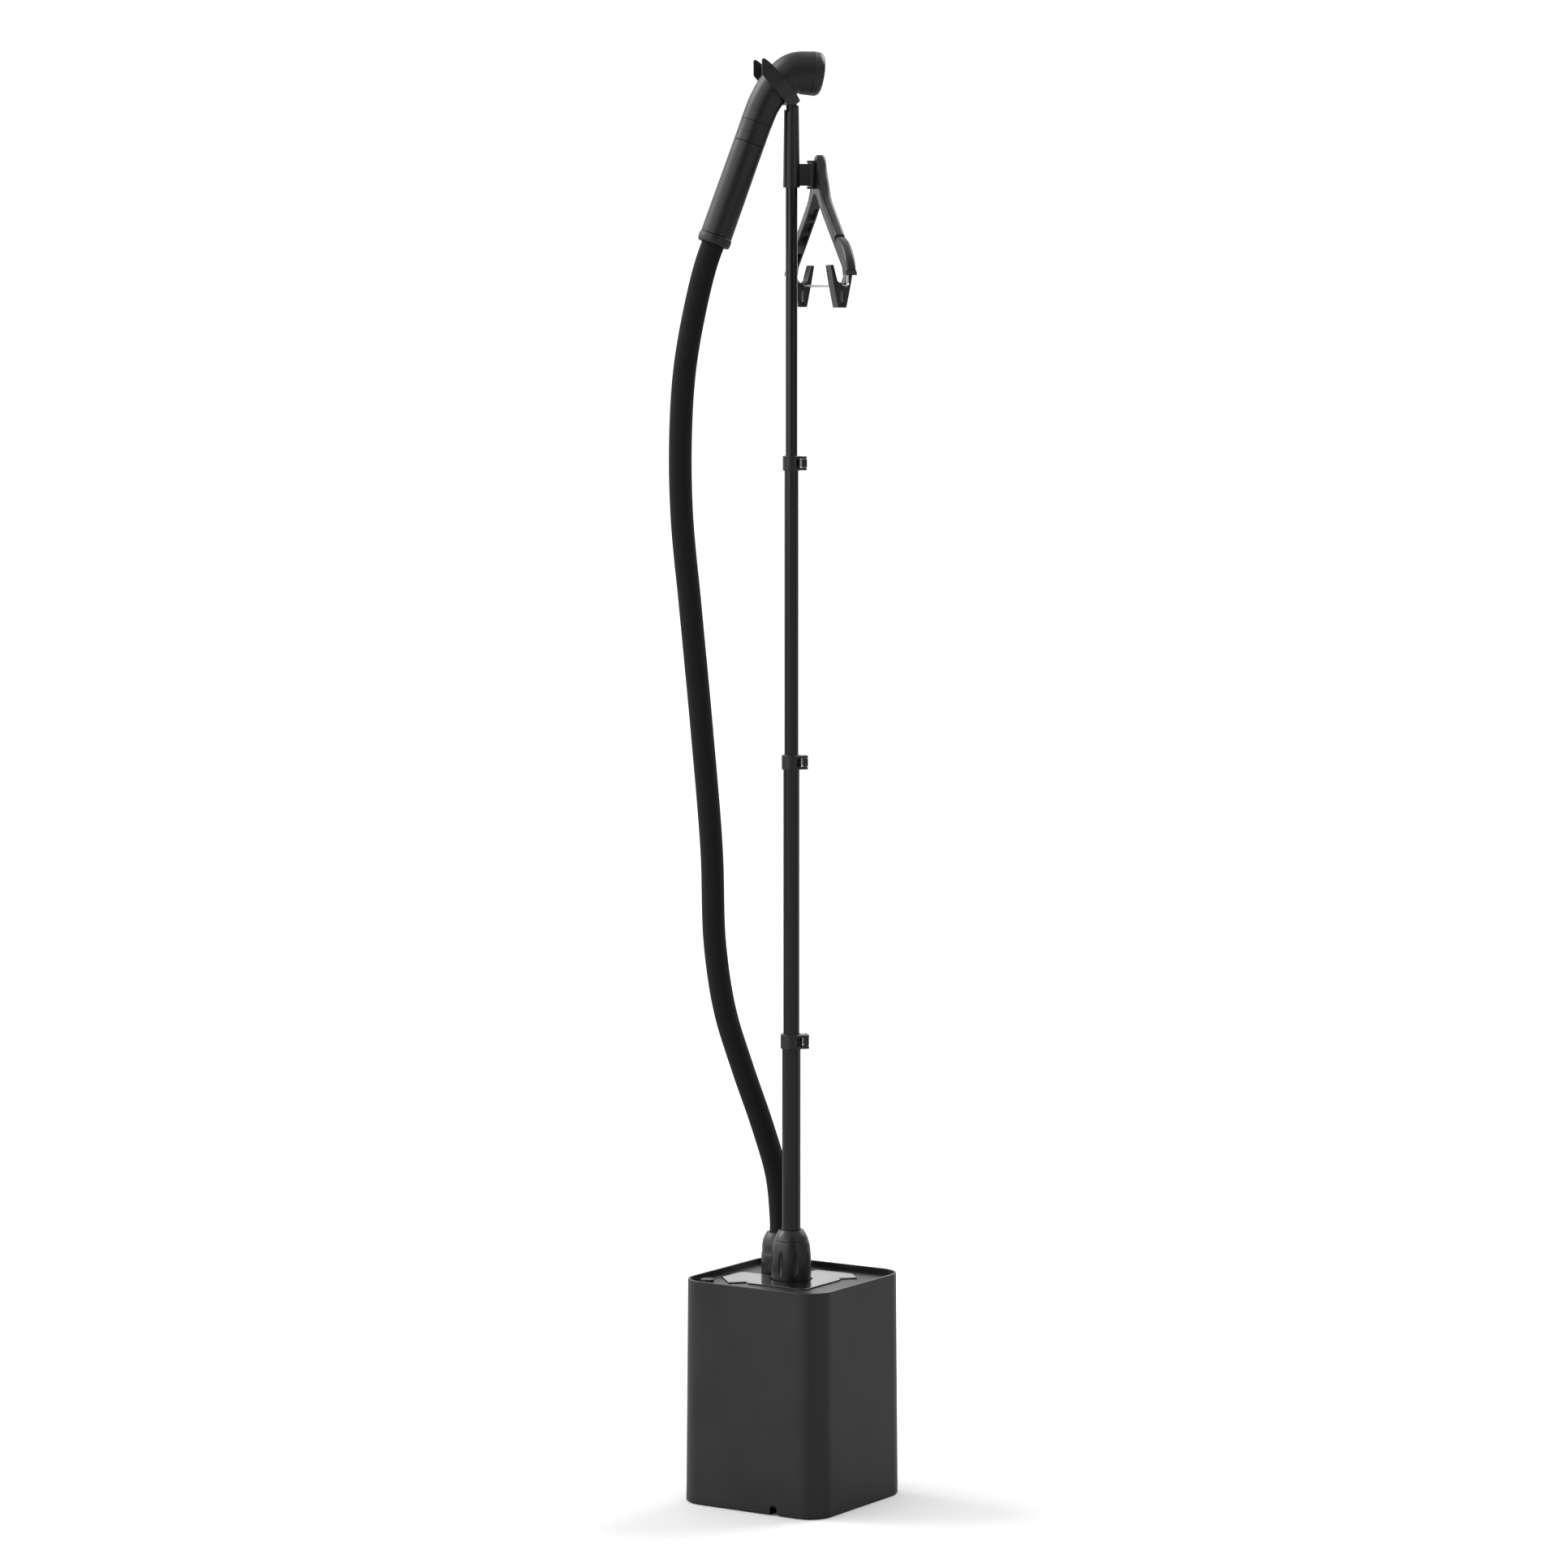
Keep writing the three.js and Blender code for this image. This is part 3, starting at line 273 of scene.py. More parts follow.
cameraSet = {
    "place": (-5.3088, -3.4474, 1.4098),
    "turn": -56.913,
    "down": 5.157,
    "lens": 125.98,
    "sensor": 36,
    "farthest": 60,
}


def makeCamera():
    deselect()
    turn = (math.radians(90 - cameraSet["down"]), 0, math.radians(cameraSet["turn"]))
    bpy.ops.object.camera_add(location=cameraSet["place"], rotation=turn)
    camera = bpy.context.object
    camera.data.lens = cameraSet["lens"]
    camera.data.sensor_width = cameraSet["sensor"]
    camera.data.clip_end = cameraSet["farthest"]
    bpy.context.scene.camera = camera


makeCamera()
print("camera placed")


# The mast's frame: x points to the steam face, y along the hanger and z up.
mastLow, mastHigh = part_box("mast_tube_1")
mastCentre = (mastLow + mastHigh) / 2
mastPlane = Matrix.Translation((mastCentre.x, mastCentre.y, 0)) @ Matrix.Rotation(-math.pi / 4, 4, "Z")
portLow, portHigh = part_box("hose_nut")
portCentre = (portLow + portHigh) / 2

# Turns a shape drawn as (across, up) with its thickness along z into the mast's frame.
standing = Matrix(((0, 0, 1, 0), (1, 0, 0, 0), (0, 1, 0, 0), (0, 0, 0, 1)))

# The handle's frame: z runs up the handle from its foot.
handle = {"foot": (-0.0919, 0, 1.4605), "tilt": 20.1}
handleTurn = Matrix.Rotation(math.radians(handle["tilt"]), 4, "Y")
handlePlane = mastPlane @ Matrix.Translation(handle["foot"]) @ handleTurn


hose = {
    "radius": 0.0133,
    "sides": 28,
    "start": (0.045, 0.045, 0.292),
    "route": [
        (0.044, 0.045, 0.322), (0.038, 0.047, 0.372), (0.024, 0.057, 0.430), (0.003, 0.072, 0.502),
        (-0.014, 0.085, 0.570), (-0.026, 0.091, 0.650), (-0.034, 0.090, 0.760), (-0.048, 0.094, 0.900),
        (-0.062, 0.100, 1.040), (-0.074, 0.104, 1.150), (-0.0785, 0.1025, 1.240), (-0.078, 0.0965, 1.320),
        (-0.071, 0.085, 1.395),
    ],
    "insideHandle": (-0.022, 0.006, 0.076),
    "step": 0.008,
}


# Evenly spaced points on a smooth line through the given ones, by way of a finer line.
def smoothLine(points, step):
    finer = 40
    points = [Vector(p) for p in points]
    ends = [points[0] * 2 - points[1], *points, points[-1] * 2 - points[-2]]
    fine = []
    for i in range(1, len(ends) - 2):
        p0, p1, p2, p3 = ends[i - 1:i + 3]
        t0 = 0
        t1 = t0 + (p1 - p0).length ** 0.5
        t2 = t1 + (p2 - p1).length ** 0.5
        t3 = t2 + (p3 - p2).length ** 0.5
        for k in range(finer):
            t = t1 + (t2 - t1) * k / finer
            a1 = p0 * ((t1 - t) / (t1 - t0)) + p1 * ((t - t0) / (t1 - t0))
            a2 = p1 * ((t2 - t) / (t2 - t1)) + p2 * ((t - t1) / (t2 - t1))
            a3 = p2 * ((t3 - t) / (t3 - t2)) + p3 * ((t - t2) / (t3 - t2))
            b1 = a1 * ((t2 - t) / (t2 - t0)) + a2 * ((t - t0) / (t2 - t0))
            b2 = a2 * ((t3 - t) / (t3 - t1)) + a3 * ((t - t1) / (t3 - t1))
            fine.append(b1 * ((t2 - t) / (t2 - t1)) + b2 * ((t - t1) / (t2 - t1)))
    fine.append(points[-1])
    lengths = [0]
    for a, b in zip(fine, fine[1:]):
        lengths.append(lengths[-1] + (b - a).length)
    count = max(2, round(lengths[-1] / step))
    line, at = [], 0
    for k in range(count + 1):
        want = lengths[-1] * k / count
        while at < len(lengths) - 2 and lengths[at + 1] < want:
            at += 1
        share = (want - lengths[at]) / (lengths[at + 1] - lengths[at])
        line.append(fine[at].lerp(fine[at + 1], min(1, share)))
    return line


# A mesh tube along a line, with a UV map that runs round it (u) and along it (v), both in metres.
def tubeAlong(name, line, radius, sides):
    vertices, faces, reaches = [], [], []
    side = Vector((1, 0, 0))
    length = 0
    for i, centre in enumerate(line):
        along = (line[min(i + 1, len(line) - 1)] - line[max(i - 1, 0)]).normalized()
        side = (side - along * side.dot(along)).normalized()
        other = along.cross(side)
        if i:
            length += (centre - line[i - 1]).length
        for k in range(sides):
            angle = 2 * math.pi * k / sides
            vertices.append(centre + (side * math.cos(angle) + other * math.sin(angle)) * radius)
            reaches.append(length)
    for i in range(len(line) - 1):
        for k in range(sides):
            a, b = i * sides + k, i * sides + (k + 1) % sides
            faces.append((a, b, b + sides, a + sides))
    faces.append(tuple(reversed(range(sides))))
    last = (len(line) - 1) * sides
    faces.append(tuple(range(last, last + sides)))
    mesh = bpy.data.meshes.new(name)
    mesh.from_pydata(vertices, [], faces)
    layer = mesh.uv_layers.new(name="UVMap")
    girth = 2 * math.pi * radius
    for face in mesh.polygons:
        columns = [mesh.loops[l].vertex_index % sides for l in face.loop_indices]
        wraps = max(columns) - min(columns) > 1 and len(columns) == 4
        for l, column in zip(face.loop_indices, columns):
            if wraps and column == 0:
                column = sides
            layer.data[l].uv = (girth * column / sides, reaches[mesh.loops[l].vertex_index])
    piece = bpy.data.objects.new(name, mesh)
    bpy.context.scene.collection.objects.link(piece)
    return piece


def makeHose():
    inside = [handlePlane @ Vector((0, 0, reach)) for reach in hose["insideHandle"]]
    line = smoothLine([hose["start"], *hose["route"], *inside], hose["step"])
    piece = tubeAlong("hose", line, hose["radius"], hose["sides"])
    smoothed(piece, 60)
    piece.data.materials.append(wovenSleeve)
    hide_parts("steam_hose")
    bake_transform(piece)


# Lets one pattern vary the gloss and another one raise the surface.
def glossAndBump(tree, shader, glossBy, span, gloss, bumpBy, strength, depth):
    rough = addNode(tree, "ShaderNodeMapRange", {"From Min": span[0], "From Max": span[1], "To Min": gloss[0],
                    "To Max": gloss[1]}, {"Value": glossBy.outputs["Fac"]})
    bump = addNode(tree, "ShaderNodeBump", {"Strength": strength, "Distance": depth},
                   {"Height": bumpBy.outputs["Fac"]})
    tree.links.new(rough.outputs["Result"], shader.inputs["Roughness"])
    tree.links.new(bump.outputs["Normal"], shader.inputs["Normal"])


# Plastic or rubber moulded in a spark-eroded tool: an even, dull-edged gloss that a fine grain spreads.
# The real grain is 0.1 to 0.2 mm wide and is drawn 0.5 to 1 mm wide so that it shows.
def mouldedPlastic(name, colour, roughness, grain, depth):
    material, tree, shader = newMaterial(name, {"IOR": 1.53, "Specular IOR Level": 0.5})
    place = addNode(tree, "ShaderNodeTexCoord")
    coarse = addNode(tree, "ShaderNodeTexNoise", {"Scale": 1 / 0.06, "Detail": 3},
                     {"Vector": place.outputs["Object"]})
    fine = addNode(tree, "ShaderNodeTexNoise", {"Scale": 1 / grain, "Detail": 2},
                   {"Vector": place.outputs["Object"]})
    tint = addNode(tree, "ShaderNodeMapRange",
                   {"From Min": 0.3, "From Max": 0.7, "To Min": 0.94, "To Max": 1.06},
                   {"Value": coarse.outputs["Fac"]})
    base = addNode(tree, "ShaderNodeMix", {"data_type": "RGBA", "blend_type": "MULTIPLY", "Factor": 1})
    base.inputs[6].default_value = linear(colour)
    tree.links.new(tint.outputs["Result"], base.inputs[7])
    tree.links.new(base.outputs[2], shader.inputs["Base Color"])
    glossAndBump(tree, shader, coarse, (0.3, 0.7), (roughness - 0.05, roughness + 0.05), fine, 0.6, depth)
    return material


# Satin ABS on the housing and fittings: black, with wide soft highlights.
satinAbs = mouldedPlastic("satin_moulded_abs", "#1b1b1c", 0.34, 0.0006, 0.00001)
# Grip ABS on the handle and neck: darker and duller, made to be held.
gripAbs = mouldedPlastic("fine_textured_grip_abs", "#121213", 0.42, 0.0005, 0.00002)
# Polypropylene of the hanger: a slightly waxy grey-black.
hangerPlastic = mouldedPlastic("moulded_hanger_polypropylene", "#1c1c1d", 0.38, 0.0008, 0.00002)
# Deck ABS: near black, with the same wide highlights as the housing.
deckAbs = mouldedPlastic("semi_gloss_deck_abs", "#171718", 0.36, 0.0008, 0.00001)
# Uncoloured nylon of the pump and valve parts: a milky off-white.
naturalNylon = mouldedPlastic("natural_nylon", "#cfcec8", 0.5, 0.0006, 0.00002)
# Glass laminate of the control board: flat dark green.
boardLaminate = mouldedPlastic("board_laminate", "#2f5a3a", 0.55, 0.0008, 0.00002)
# Rubber of the pads: dead matt, with a rough grain.
footRubber = mouldedPlastic("moulded_rubber", "#18181a", 0.85, 0.001, 0.00004)


# Polished ABS: a clear glossy black with a very faint swell and handling marks in the gloss.
def polishedAbs():
    material, tree, shader = newMaterial("polished_abs", {"Base Color": linear("#131314"), "IOR": 1.54,
                                         "Coat Weight": 0.6, "Coat Roughness": 0.04})
    place = addNode(tree, "ShaderNodeTexCoord")
    swell = addNode(tree, "ShaderNodeTexNoise", {"Scale": 1 / 0.03, "Detail": 1},
                    {"Vector": place.outputs["Object"]})
    marks = addNode(tree, "ShaderNodeTexNoise", {"Scale": 1 / 0.012, "Detail": 6, "Roughness": 0.7},
                    {"Vector": place.outputs["Object"]})
    glossAndBump(tree, shader, marks, (0.35, 0.7), (0.08, 0.2), swell, 0.3, 0.00006)
    return material


# Stove-enamelled steel or aluminium tube: a smooth dark film with a slight orange peel.
def enamelledTube():
    material, tree, shader = newMaterial("enamelled_tube", {"Base Color": linear("#111112"), "IOR": 1.5})
    place = addNode(tree, "ShaderNodeTexCoord")
    stretch = addNode(tree, "ShaderNodeMapping", {"Scale": (1, 1, 0.15)}, {"Vector": place.outputs["Object"]})
    peel = addNode(tree, "ShaderNodeTexNoise", {"Scale": 1 / 0.0012, "Detail": 2},
                   {"Vector": stretch.outputs["Vector"]})
    rub = addNode(tree, "ShaderNodeTexNoise", {"Scale": 1 / 0.01, "Detail": 4},
                  {"Vector": stretch.outputs["Vector"]})
    glossAndBump(tree, shader, rub, (0.3, 0.7), (0.11, 0.17), peel, 0.3, 0.00001)
    return material


# Woven polyester sleeve over the steam hose: matt black, with fine crossing threads.
# The real threads are finer and are drawn 1.4 mm wide so that they show.
weave = {"thread": 0.0014, "colour": "#141415", "lift": "#1e1e1f", "crossing": 38}


def wovenPolyester():
    material, tree, shader = newMaterial("woven_polyester_sleeve", {"IOR": 1.45, "Roughness": 0.85,
                                         "Specular IOR Level": 0.35})
    uv = addNode(tree, "ShaderNodeUVMap", {"uv_map": "UVMap"})
    waves = []
    for turn in (weave["crossing"], -weave["crossing"]):
        turned = addNode(tree, "ShaderNodeMapping", {"Rotation": (0, 0, math.radians(turn))},
                         {"Vector": uv.outputs["UV"]})
        wave = addNode(tree, "ShaderNodeTexWave", {"Scale": 0.314 / weave["thread"], "Distortion": 0.3},
                       {"Vector": turned.outputs["Vector"]})
        waves.append(wave.outputs["Fac"])
    cross = addNode(tree, "ShaderNodeMath", {"operation": "MULTIPLY"})
    tree.links.new(waves[0], cross.inputs[0])
    tree.links.new(waves[1], cross.inputs[1])
    tone = addNode(tree, "ShaderNodeMix", {"data_type": "RGBA"}, {"Factor": cross.outputs["Value"]})
    tone.inputs[6].default_value = linear(weave["colour"])
    tone.inputs[7].default_value = linear(weave["lift"])
    bump = addNode(tree, "ShaderNodeBump", {"Strength": 0.8, "Distance": 0.0002},
                   {"Height": cross.outputs["Value"]})
    tree.links.new(tone.outputs[2], shader.inputs["Base Color"])
    tree.links.new(bump.outputs["Normal"], shader.inputs["Normal"])
    return material


# Bright drawn or turned metal: fine tool marks that blur a soft polish.
# The real marks are under 0.1 mm apart and are drawn 0.8 mm apart so that they show.
def drawnMetal(name, colour, roughness):
    material, tree, shader = newMaterial(name, {"Base Color": linear(colour), "Metallic": 1})
    place = addNode(tree, "ShaderNodeTexCoord")
    lines = addNode(tree, "ShaderNodeTexNoise", {"Scale": 1 / 0.0008, "Detail": 3},
                    {"Vector": place.outputs["Object"]})
    glossAndBump(tree, shader, lines, (0.3, 0.7), (roughness - 0.06, roughness + 0.08), lines, 0.2, 0.00001)
    return material


# Smoke-tinted polycarbonate, blow moulded: a grey see-through wall with a slight haze.
def smokedPolycarbonate():
    material, tree, shader = newMaterial("smoked_polycarbonate", {"Base Color": linear("#5a5d60"),
                                         "IOR": 1.58, "Transmission Weight": 0.5})
    place = addNode(tree, "ShaderNodeTexCoord")
    haze = addNode(tree, "ShaderNodeTexNoise", {"Scale": 1 / 0.02, "Detail": 3},
                   {"Vector": place.outputs["Object"]})
    gloss = addNode(tree, "ShaderNodeMapRange", {"To Min": 0.12, "To Max": 0.3},
                    {"Value": haze.outputs["Fac"]})
    tree.links.new(gloss.outputs["Result"], shader.inputs["Roughness"])
    return material


panelAbs = polishedAbs()
tubeEnamel = enamelledTube()
wovenSleeve = wovenPolyester()
brightSteel = drawnMetal("bright_drawn_steel", "#c4c6c8", 0.22)
rawBrass = drawnMetal("machined_brass", "#b08d4c", 0.32)  # warmer and duller than the steel
smokedTank = smokedPolycarbonate()

slotMaterials = {
    "satin_black_plastic": satinAbs,
    "gloss_black_plastic": panelAbs,
    "painted_tube": tubeEnamel,
    "hose_sleeve": wovenSleeve,
    "rubber": footRubber,
    "steel": brightSteel,
    "brass": rawBrass,
    "white_plastic": naturalNylon,
    "smoked_plastic": smokedTank,
    "board_green": boardLaminate,
}
for part in frame["record"]["subparts"]:
    cadPiece = frame["nodes"][part["node"]]
    cadPiece.data.materials.clear()
    cadPiece.data.materials.append(slotMaterials[part["material_slot"]])
print("materials made")

makeHose()


shell = {
    "side": 0.196, "low": 0.0015, "top": 0.263, "corner": 0.0305, "cornerSteps": 18, "draft": 0.0019,
    "wall": 0.0026, "rim": 0.0007,
}
cordNotch = {
    "place": -0.037, "radius": 0.00475, "height": 0.012, "below": 0.01, "outside": -0.101, "inside": -0.092,
}


def makeHousing():
    deselect()
    height = shell["top"] - shell["low"]
    bpy.ops.mesh.primitive_cube_add(size=1, location=(0, 0, shell["low"] + height / 2),
                                    scale=(shell["side"], shell["side"], height))
    piece = bpy.context.object
    applyPlace()
    pick(piece, "EDGE", lambda ends: abs(ends[0].z - ends[1].z) > height / 2)
    bpy.ops.mesh.bevel(offset=shell["corner"], segments=shell["cornerSteps"], affect="EDGES",
                       clamp_overlap=False)
    bpy.ops.object.mode_set(mode="OBJECT")
    pick(piece, "FACE", lambda ends: max(v.z for v in ends) - min(v.z for v in ends) < height / 2)
    bpy.ops.mesh.delete(type="FACE")
    bpy.ops.object.mode_set(mode="OBJECT")
    pick(piece, "VERT", lambda ends: ends[0].z > height / 2)
    share = 1 - 2 * shell["draft"] / shell["side"]
    bpy.ops.transform.resize(value=(share, share, 1), center_override=(0, 0, 0))
    bpy.ops.object.mode_set(mode="OBJECT")
    wall = piece.modifiers.new("wall", "SOLIDIFY")
    wall.thickness = shell["wall"]
    wall.offset = -1
    wall.use_even_offset = True
    applyModifiers(piece)
    bevelled(piece, shell["rim"], 3, 40)
    r = cordNotch["radius"]
    arch = [(-r, -cordNotch["below"]), (r, -cordNotch["below"])]
    arch += [(r * math.cos(a), cordNotch["height"] - r + r * math.sin(a)) for a in steps(0, math.pi, 16)]
    cutter = drawnSlab(arch, cordNotch["outside"], cordNotch["inside"])
    settle(cutter, Matrix.Translation((0, cordNotch["place"], 0)) @ standing)
    cutAway(piece, cutter)
    smoothed(piece)
    finished(piece, "moulded_housing", satinAbs, "housing")


topEdges = {"deck": 0.0005, "tank_cover": 0.0012}
fingerPockets = {"places": [(-0.053, 0.043), (0.043, -0.053)], "size": (0.009, 0.024, 0.008), "top": 0.2576}
# The button's crown is given as distance in from its side and down from its top.
button = {
    "radius": 0.008, "low": 0.2513, "top": 0.26, "dish": 0.0006, "stem": 0.0032, "stemLength": 0.004,
    "crown": [(0.0022, 0.0001), (0.0012, 0), (0.0004, 0.0003), (0, 0.001)],
}


def makeTop():
    for node, width in topEdges.items():
        piece = softened(node, width, angle=40)
        material = deckAbs
        if node == "tank_cover":
            material = panelAbs
            for x, y in fingerPockets["places"]:
                place = (x, y, fingerPockets["top"])
                cutAway(piece, boxAt(place, fingerPockets["size"], (0, 0, math.pi / 4)))
            smoothed(piece)
        finished(piece, "moulded_" + node, material, node)
    r, top, low, stem = button["radius"], button["top"], button["low"], button["stem"]
    end = low - button["stemLength"]
    profile = [(0.0002, top - button["dish"]), (r * 0.5, top - button["dish"] * 0.75)]
    profile += [(r - inward, top - down) for inward, down in button["crown"]]
    profile += [(r, low), (stem, low), (stem, end), (0.0002, end)]
    piece = turnedPiece(profile, 64, False)
    low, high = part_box("power_button")
    settle(piece, Matrix.Translation(((low.x + high.x) / 2, (low.y + high.y) / 2, 0)))
    smoothed(piece)
    finished(piece, "power_button_cap", satinAbs, "power_button")


mastNut = {
    "radius": 0.0232, "low": 0.2568, "height": 0.059, "bore": 0.02, "mouth": 0.0111, "thread": 0.0408,
    "dome": [(0, 0.975), (0.1, 1), (0.28, 1), (0.45, 0.99), (0.6, 0.96), (0.72, 0.915), (0.8, 0.86),
             (0.88, 0.785), (0.95, 0.69), (1, 0.61)],
    "seam": 0.78, "seamStep": [(0, 0.0008), (0.0005, 0.0005), (0.0005, 0.0002)], "mouthEdge": 0.0006,
    "flutes": 8, "fluteRadius": 0.0046, "fluteDepth": 0.0019, "fluteShare": 0.36, "fluteMiddle": 0.4,
    "sides": 96, "step": 0.0022,
}
hoseNut = {
    "low": 0.2568, "height": 0.047, "bore": 0.0139, "sides": 96, "turn": 50,
    "slot": (0.0016, 0.004, 0.0075), "slotPlace": (-0.0234, 0, 0.2668),
    "outside": [(0.0232, 0), (0.0234, 0.0006), (0.0234, 0.0182), (0.0231, 0.0188), (0.0231, 0.0194),
                (0.0234, 0.02), (0.0232, 0.0212), (0.0224, 0.024), (0.0224, 0.0295), (0.0222, 0.0335),
                (0.0212, 0.038), (0.0199, 0.0415), (0.0186, 0.044), (0.0176, 0.0456), (0.0169, 0.047)],
}


def makeMastNut():
    radius, low, height = mastNut["radius"], mastNut["low"], mastNut["height"]
    outside = smoothLine([(radius * share, 0, low + height * rise) for rise, share in mastNut["dome"]],
                         mastNut["step"])
    profile = [(mastNut["bore"], low)]
    seam = low + height * mastNut["seam"]
    seamCut = False
    for point in outside:
        if point.z > seam and not seamCut:
            profile += [(point.x - inward, point.z - down) for inward, down in mastNut["seamStep"]]
            seamCut = True
        profile.append((point.x, point.z))
    mouth, edge, top, thread = mastNut["mouth"], mastNut["mouthEdge"], low + height, low + mastNut["thread"]
    profile += [(mouth + edge, top), (mouth, top - edge), (mouth, thread), (mastNut["bore"], thread)]
    piece = turnedPiece(profile, mastNut["sides"])
    flutes = []
    reach = radius + mastNut["fluteRadius"] - mastNut["fluteDepth"]
    for i in range(mastNut["flutes"]):
        angle = 2 * math.pi * i / mastNut["flutes"]
        deselect()
        place = (reach * math.cos(angle), reach * math.sin(angle), low + mastNut["fluteMiddle"] * height)
        stretch = mastNut["fluteShare"] * height / mastNut["fluteRadius"]
        bpy.ops.mesh.primitive_uv_sphere_add(segments=32, ring_count=24, radius=mastNut["fluteRadius"],
                                             location=place, scale=(1, 1, stretch))
        flutes.append(bpy.context.object)
    cutAway(piece, joined(flutes))
    settle(piece, mastPlane)
    smoothed(piece, 32)
    finished(piece, "mast_knob", satinAbs, "mast_nut")


def makeHoseNut():
    low = hoseNut["low"]
    profile = [(r, low + z) for r, z in hoseNut["outside"]]
    top = low + hoseNut["height"]
    profile += [(hoseNut["bore"] + 0.0005, top), (hoseNut["bore"], top - 0.0006), (hoseNut["bore"], low)]
    piece = turnedPiece(profile, hoseNut["sides"])
    cutAway(piece, boxAt(hoseNut["slotPlace"], hoseNut["slot"]))
    turn = Matrix.Rotation(math.radians(hoseNut["turn"]), 4, "Z")
    settle(piece, Matrix.Translation((portCentre.x, portCentre.y, 0)) @ turn)
    smoothed(piece, 32)
    finished(piece, "hose_collar_nut", satinAbs, "hose_nut")


# Each stage of the mast: its node, outer radius, lowest and highest point.
mast = {
    "stages": [("mast_tube_1", 0.0108, 0.010, 0.544), ("mast_tube_2", 0.0095, 0.489, 0.870),
               ("mast_tube_3", 0.0082, 0.815, 1.216), ("mast_tube_4", 0.0069, 1.161, 1.591)],
    "wall": 0.001, "groove": 290, "grooveWidth": 0.0011, "grooveDepth": 0.0006, "edge": 0.0003,
}


def makeTubes():
    for node, r, low, high in mast["stages"]:
        inner, edge = r - mast["wall"], mast["edge"]
        piece = turnedPiece([(inner, low), (r - edge, low), (r, low + edge), (r, high - edge),
                             (r - edge, high), (inner, high)], 80)
        turn = math.radians(mast["groove"])
        place = (r * math.cos(turn), r * math.sin(turn), (low + high) / 2)
        size = (2 * mast["grooveDepth"], mast["grooveWidth"], high - low + 0.01)
        cutAway(piece, boxAt(place, size, (0, 0, turn)))
        settle(piece, mastPlane)
        smoothed(piece, 30)
        finished(piece, "grooved_" + node, tubeEnamel, node)


clamp = {
    "levels": [0.529, 0.855, 1.201], "height": 0.017, "wall": 0.0019, "gap": 0.0003, "ear": 0.0027,
    "pinOut": 0.0034, "pinAside": -0.0075, "pin": 0.001, "slot": 297, "slotSize": (0.003, 0.0025, 0.009),
    "edge": 0.0006, "lid": 0.0017, "inset": 0.0005, "past": 0.01, "leverEdge": 0.0005,
    "earRound": [(0.001, 0), (0.0025, 0.0008), (0.0029, 0.002)],
}


# Each clamp is a collar on the lower tube with a lid over its end, and two ears that hold the lever's pin.
def makeClamps():
    gap, edge, inset, past = clamp["gap"], clamp["edge"], clamp["inset"], clamp["past"]
    for i, low in enumerate(clamp["levels"]):
        node = "clamp_%d" % (i + 1)
        high = low + clamp["height"]
        lid, middle = high - clamp["lid"], (low + high) / 2
        inner, upper = mast["stages"][i][1] + gap, mast["stages"][i + 1][1] + gap
        r = mast["stages"][i][1] + clamp["wall"]
        piece = turnedPiece([(inner, low), (r - edge, low), (r, low + edge), (r, high - edge),
                             (r - edge, high), (upper, high), (upper, lid), (inner, lid)], 80)
        pinX = r + clamp["pinOut"]
        ear = [(0, -r), *[(pinX + out, up - r) for out, up in clamp["earRound"]],
               (pinX + clamp["earRound"][-1][0], -0.0046), (r + 0.001, 0.003), (0, 0.004)]
        for start in (low + inset, high - inset - clamp["ear"]):
            plate = drawnSlab(ear, start, start + clamp["ear"])
            bore = turnedPiece([(0.0001, low - past), (inner, low - past), (inner, lid), (upper, lid),
                                (upper, high + past), (0.0001, high + past)], 80, False)
            cutAway(plate, bore)
            fuse(piece, plate)
        pin = rodAt((pinX, clamp["pinAside"], middle), clamp["pin"] + gap, 2 * clamp["height"] + past, 24)
        cutAway(piece, pin)
        turn = math.radians(clamp["slot"])
        place = (r * math.cos(turn), r * math.sin(turn), middle)
        cutAway(piece, boxAt(place, clamp["slotSize"], (0, 0, turn)))
        settle(piece, mastPlane)
        smoothed(piece, 30)
        finished(piece, "clamp_ring_%d" % (i + 1), satinAbs, node)
        node = "clamp_lever_%d" % (i + 1)
        piece = softened(node, clamp["leverEdge"], 2)
        finished(piece, "clamp_handle_%d" % (i + 1), satinAbs, node)


sleeveEdge = 0.0004
cradle = {
    "centre": (-0.0179, 0, 1.6416), "tilt": 50.6, "gap": 0.022, "wall": 0.0035, "lip": 0.005, "edge": 0.0011,
    "open": -0.048, "flare": 0.0008,
    "above": [(-0.0372, 1.6717), (-0.033, 1.6692), (-0.0226, 1.6595), (-0.0091, 1.6456), (-0.0001, 1.6348),
              (0.006, 1.6272), (0.0088, 1.6235)],
    "below": [(0.0088, 1.6196), (-0.008, 1.6196), (-0.0125, 1.6243), (-0.0158, 1.6276), (-0.0271, 1.6386),
              (-0.0394, 1.6536), (-0.0396, 1.67), (-0.0388, 1.6714)],
    "stem": 0.0063, "stemLow": 1.595, "stemHigh": 1.6215,
}


def makeSleeve():
    piece = softened("mast_sleeve", sleeveEdge, 2, 40)
    finished(piece, "moulded_mast_sleeve", satinAbs, "mast_sleeve")


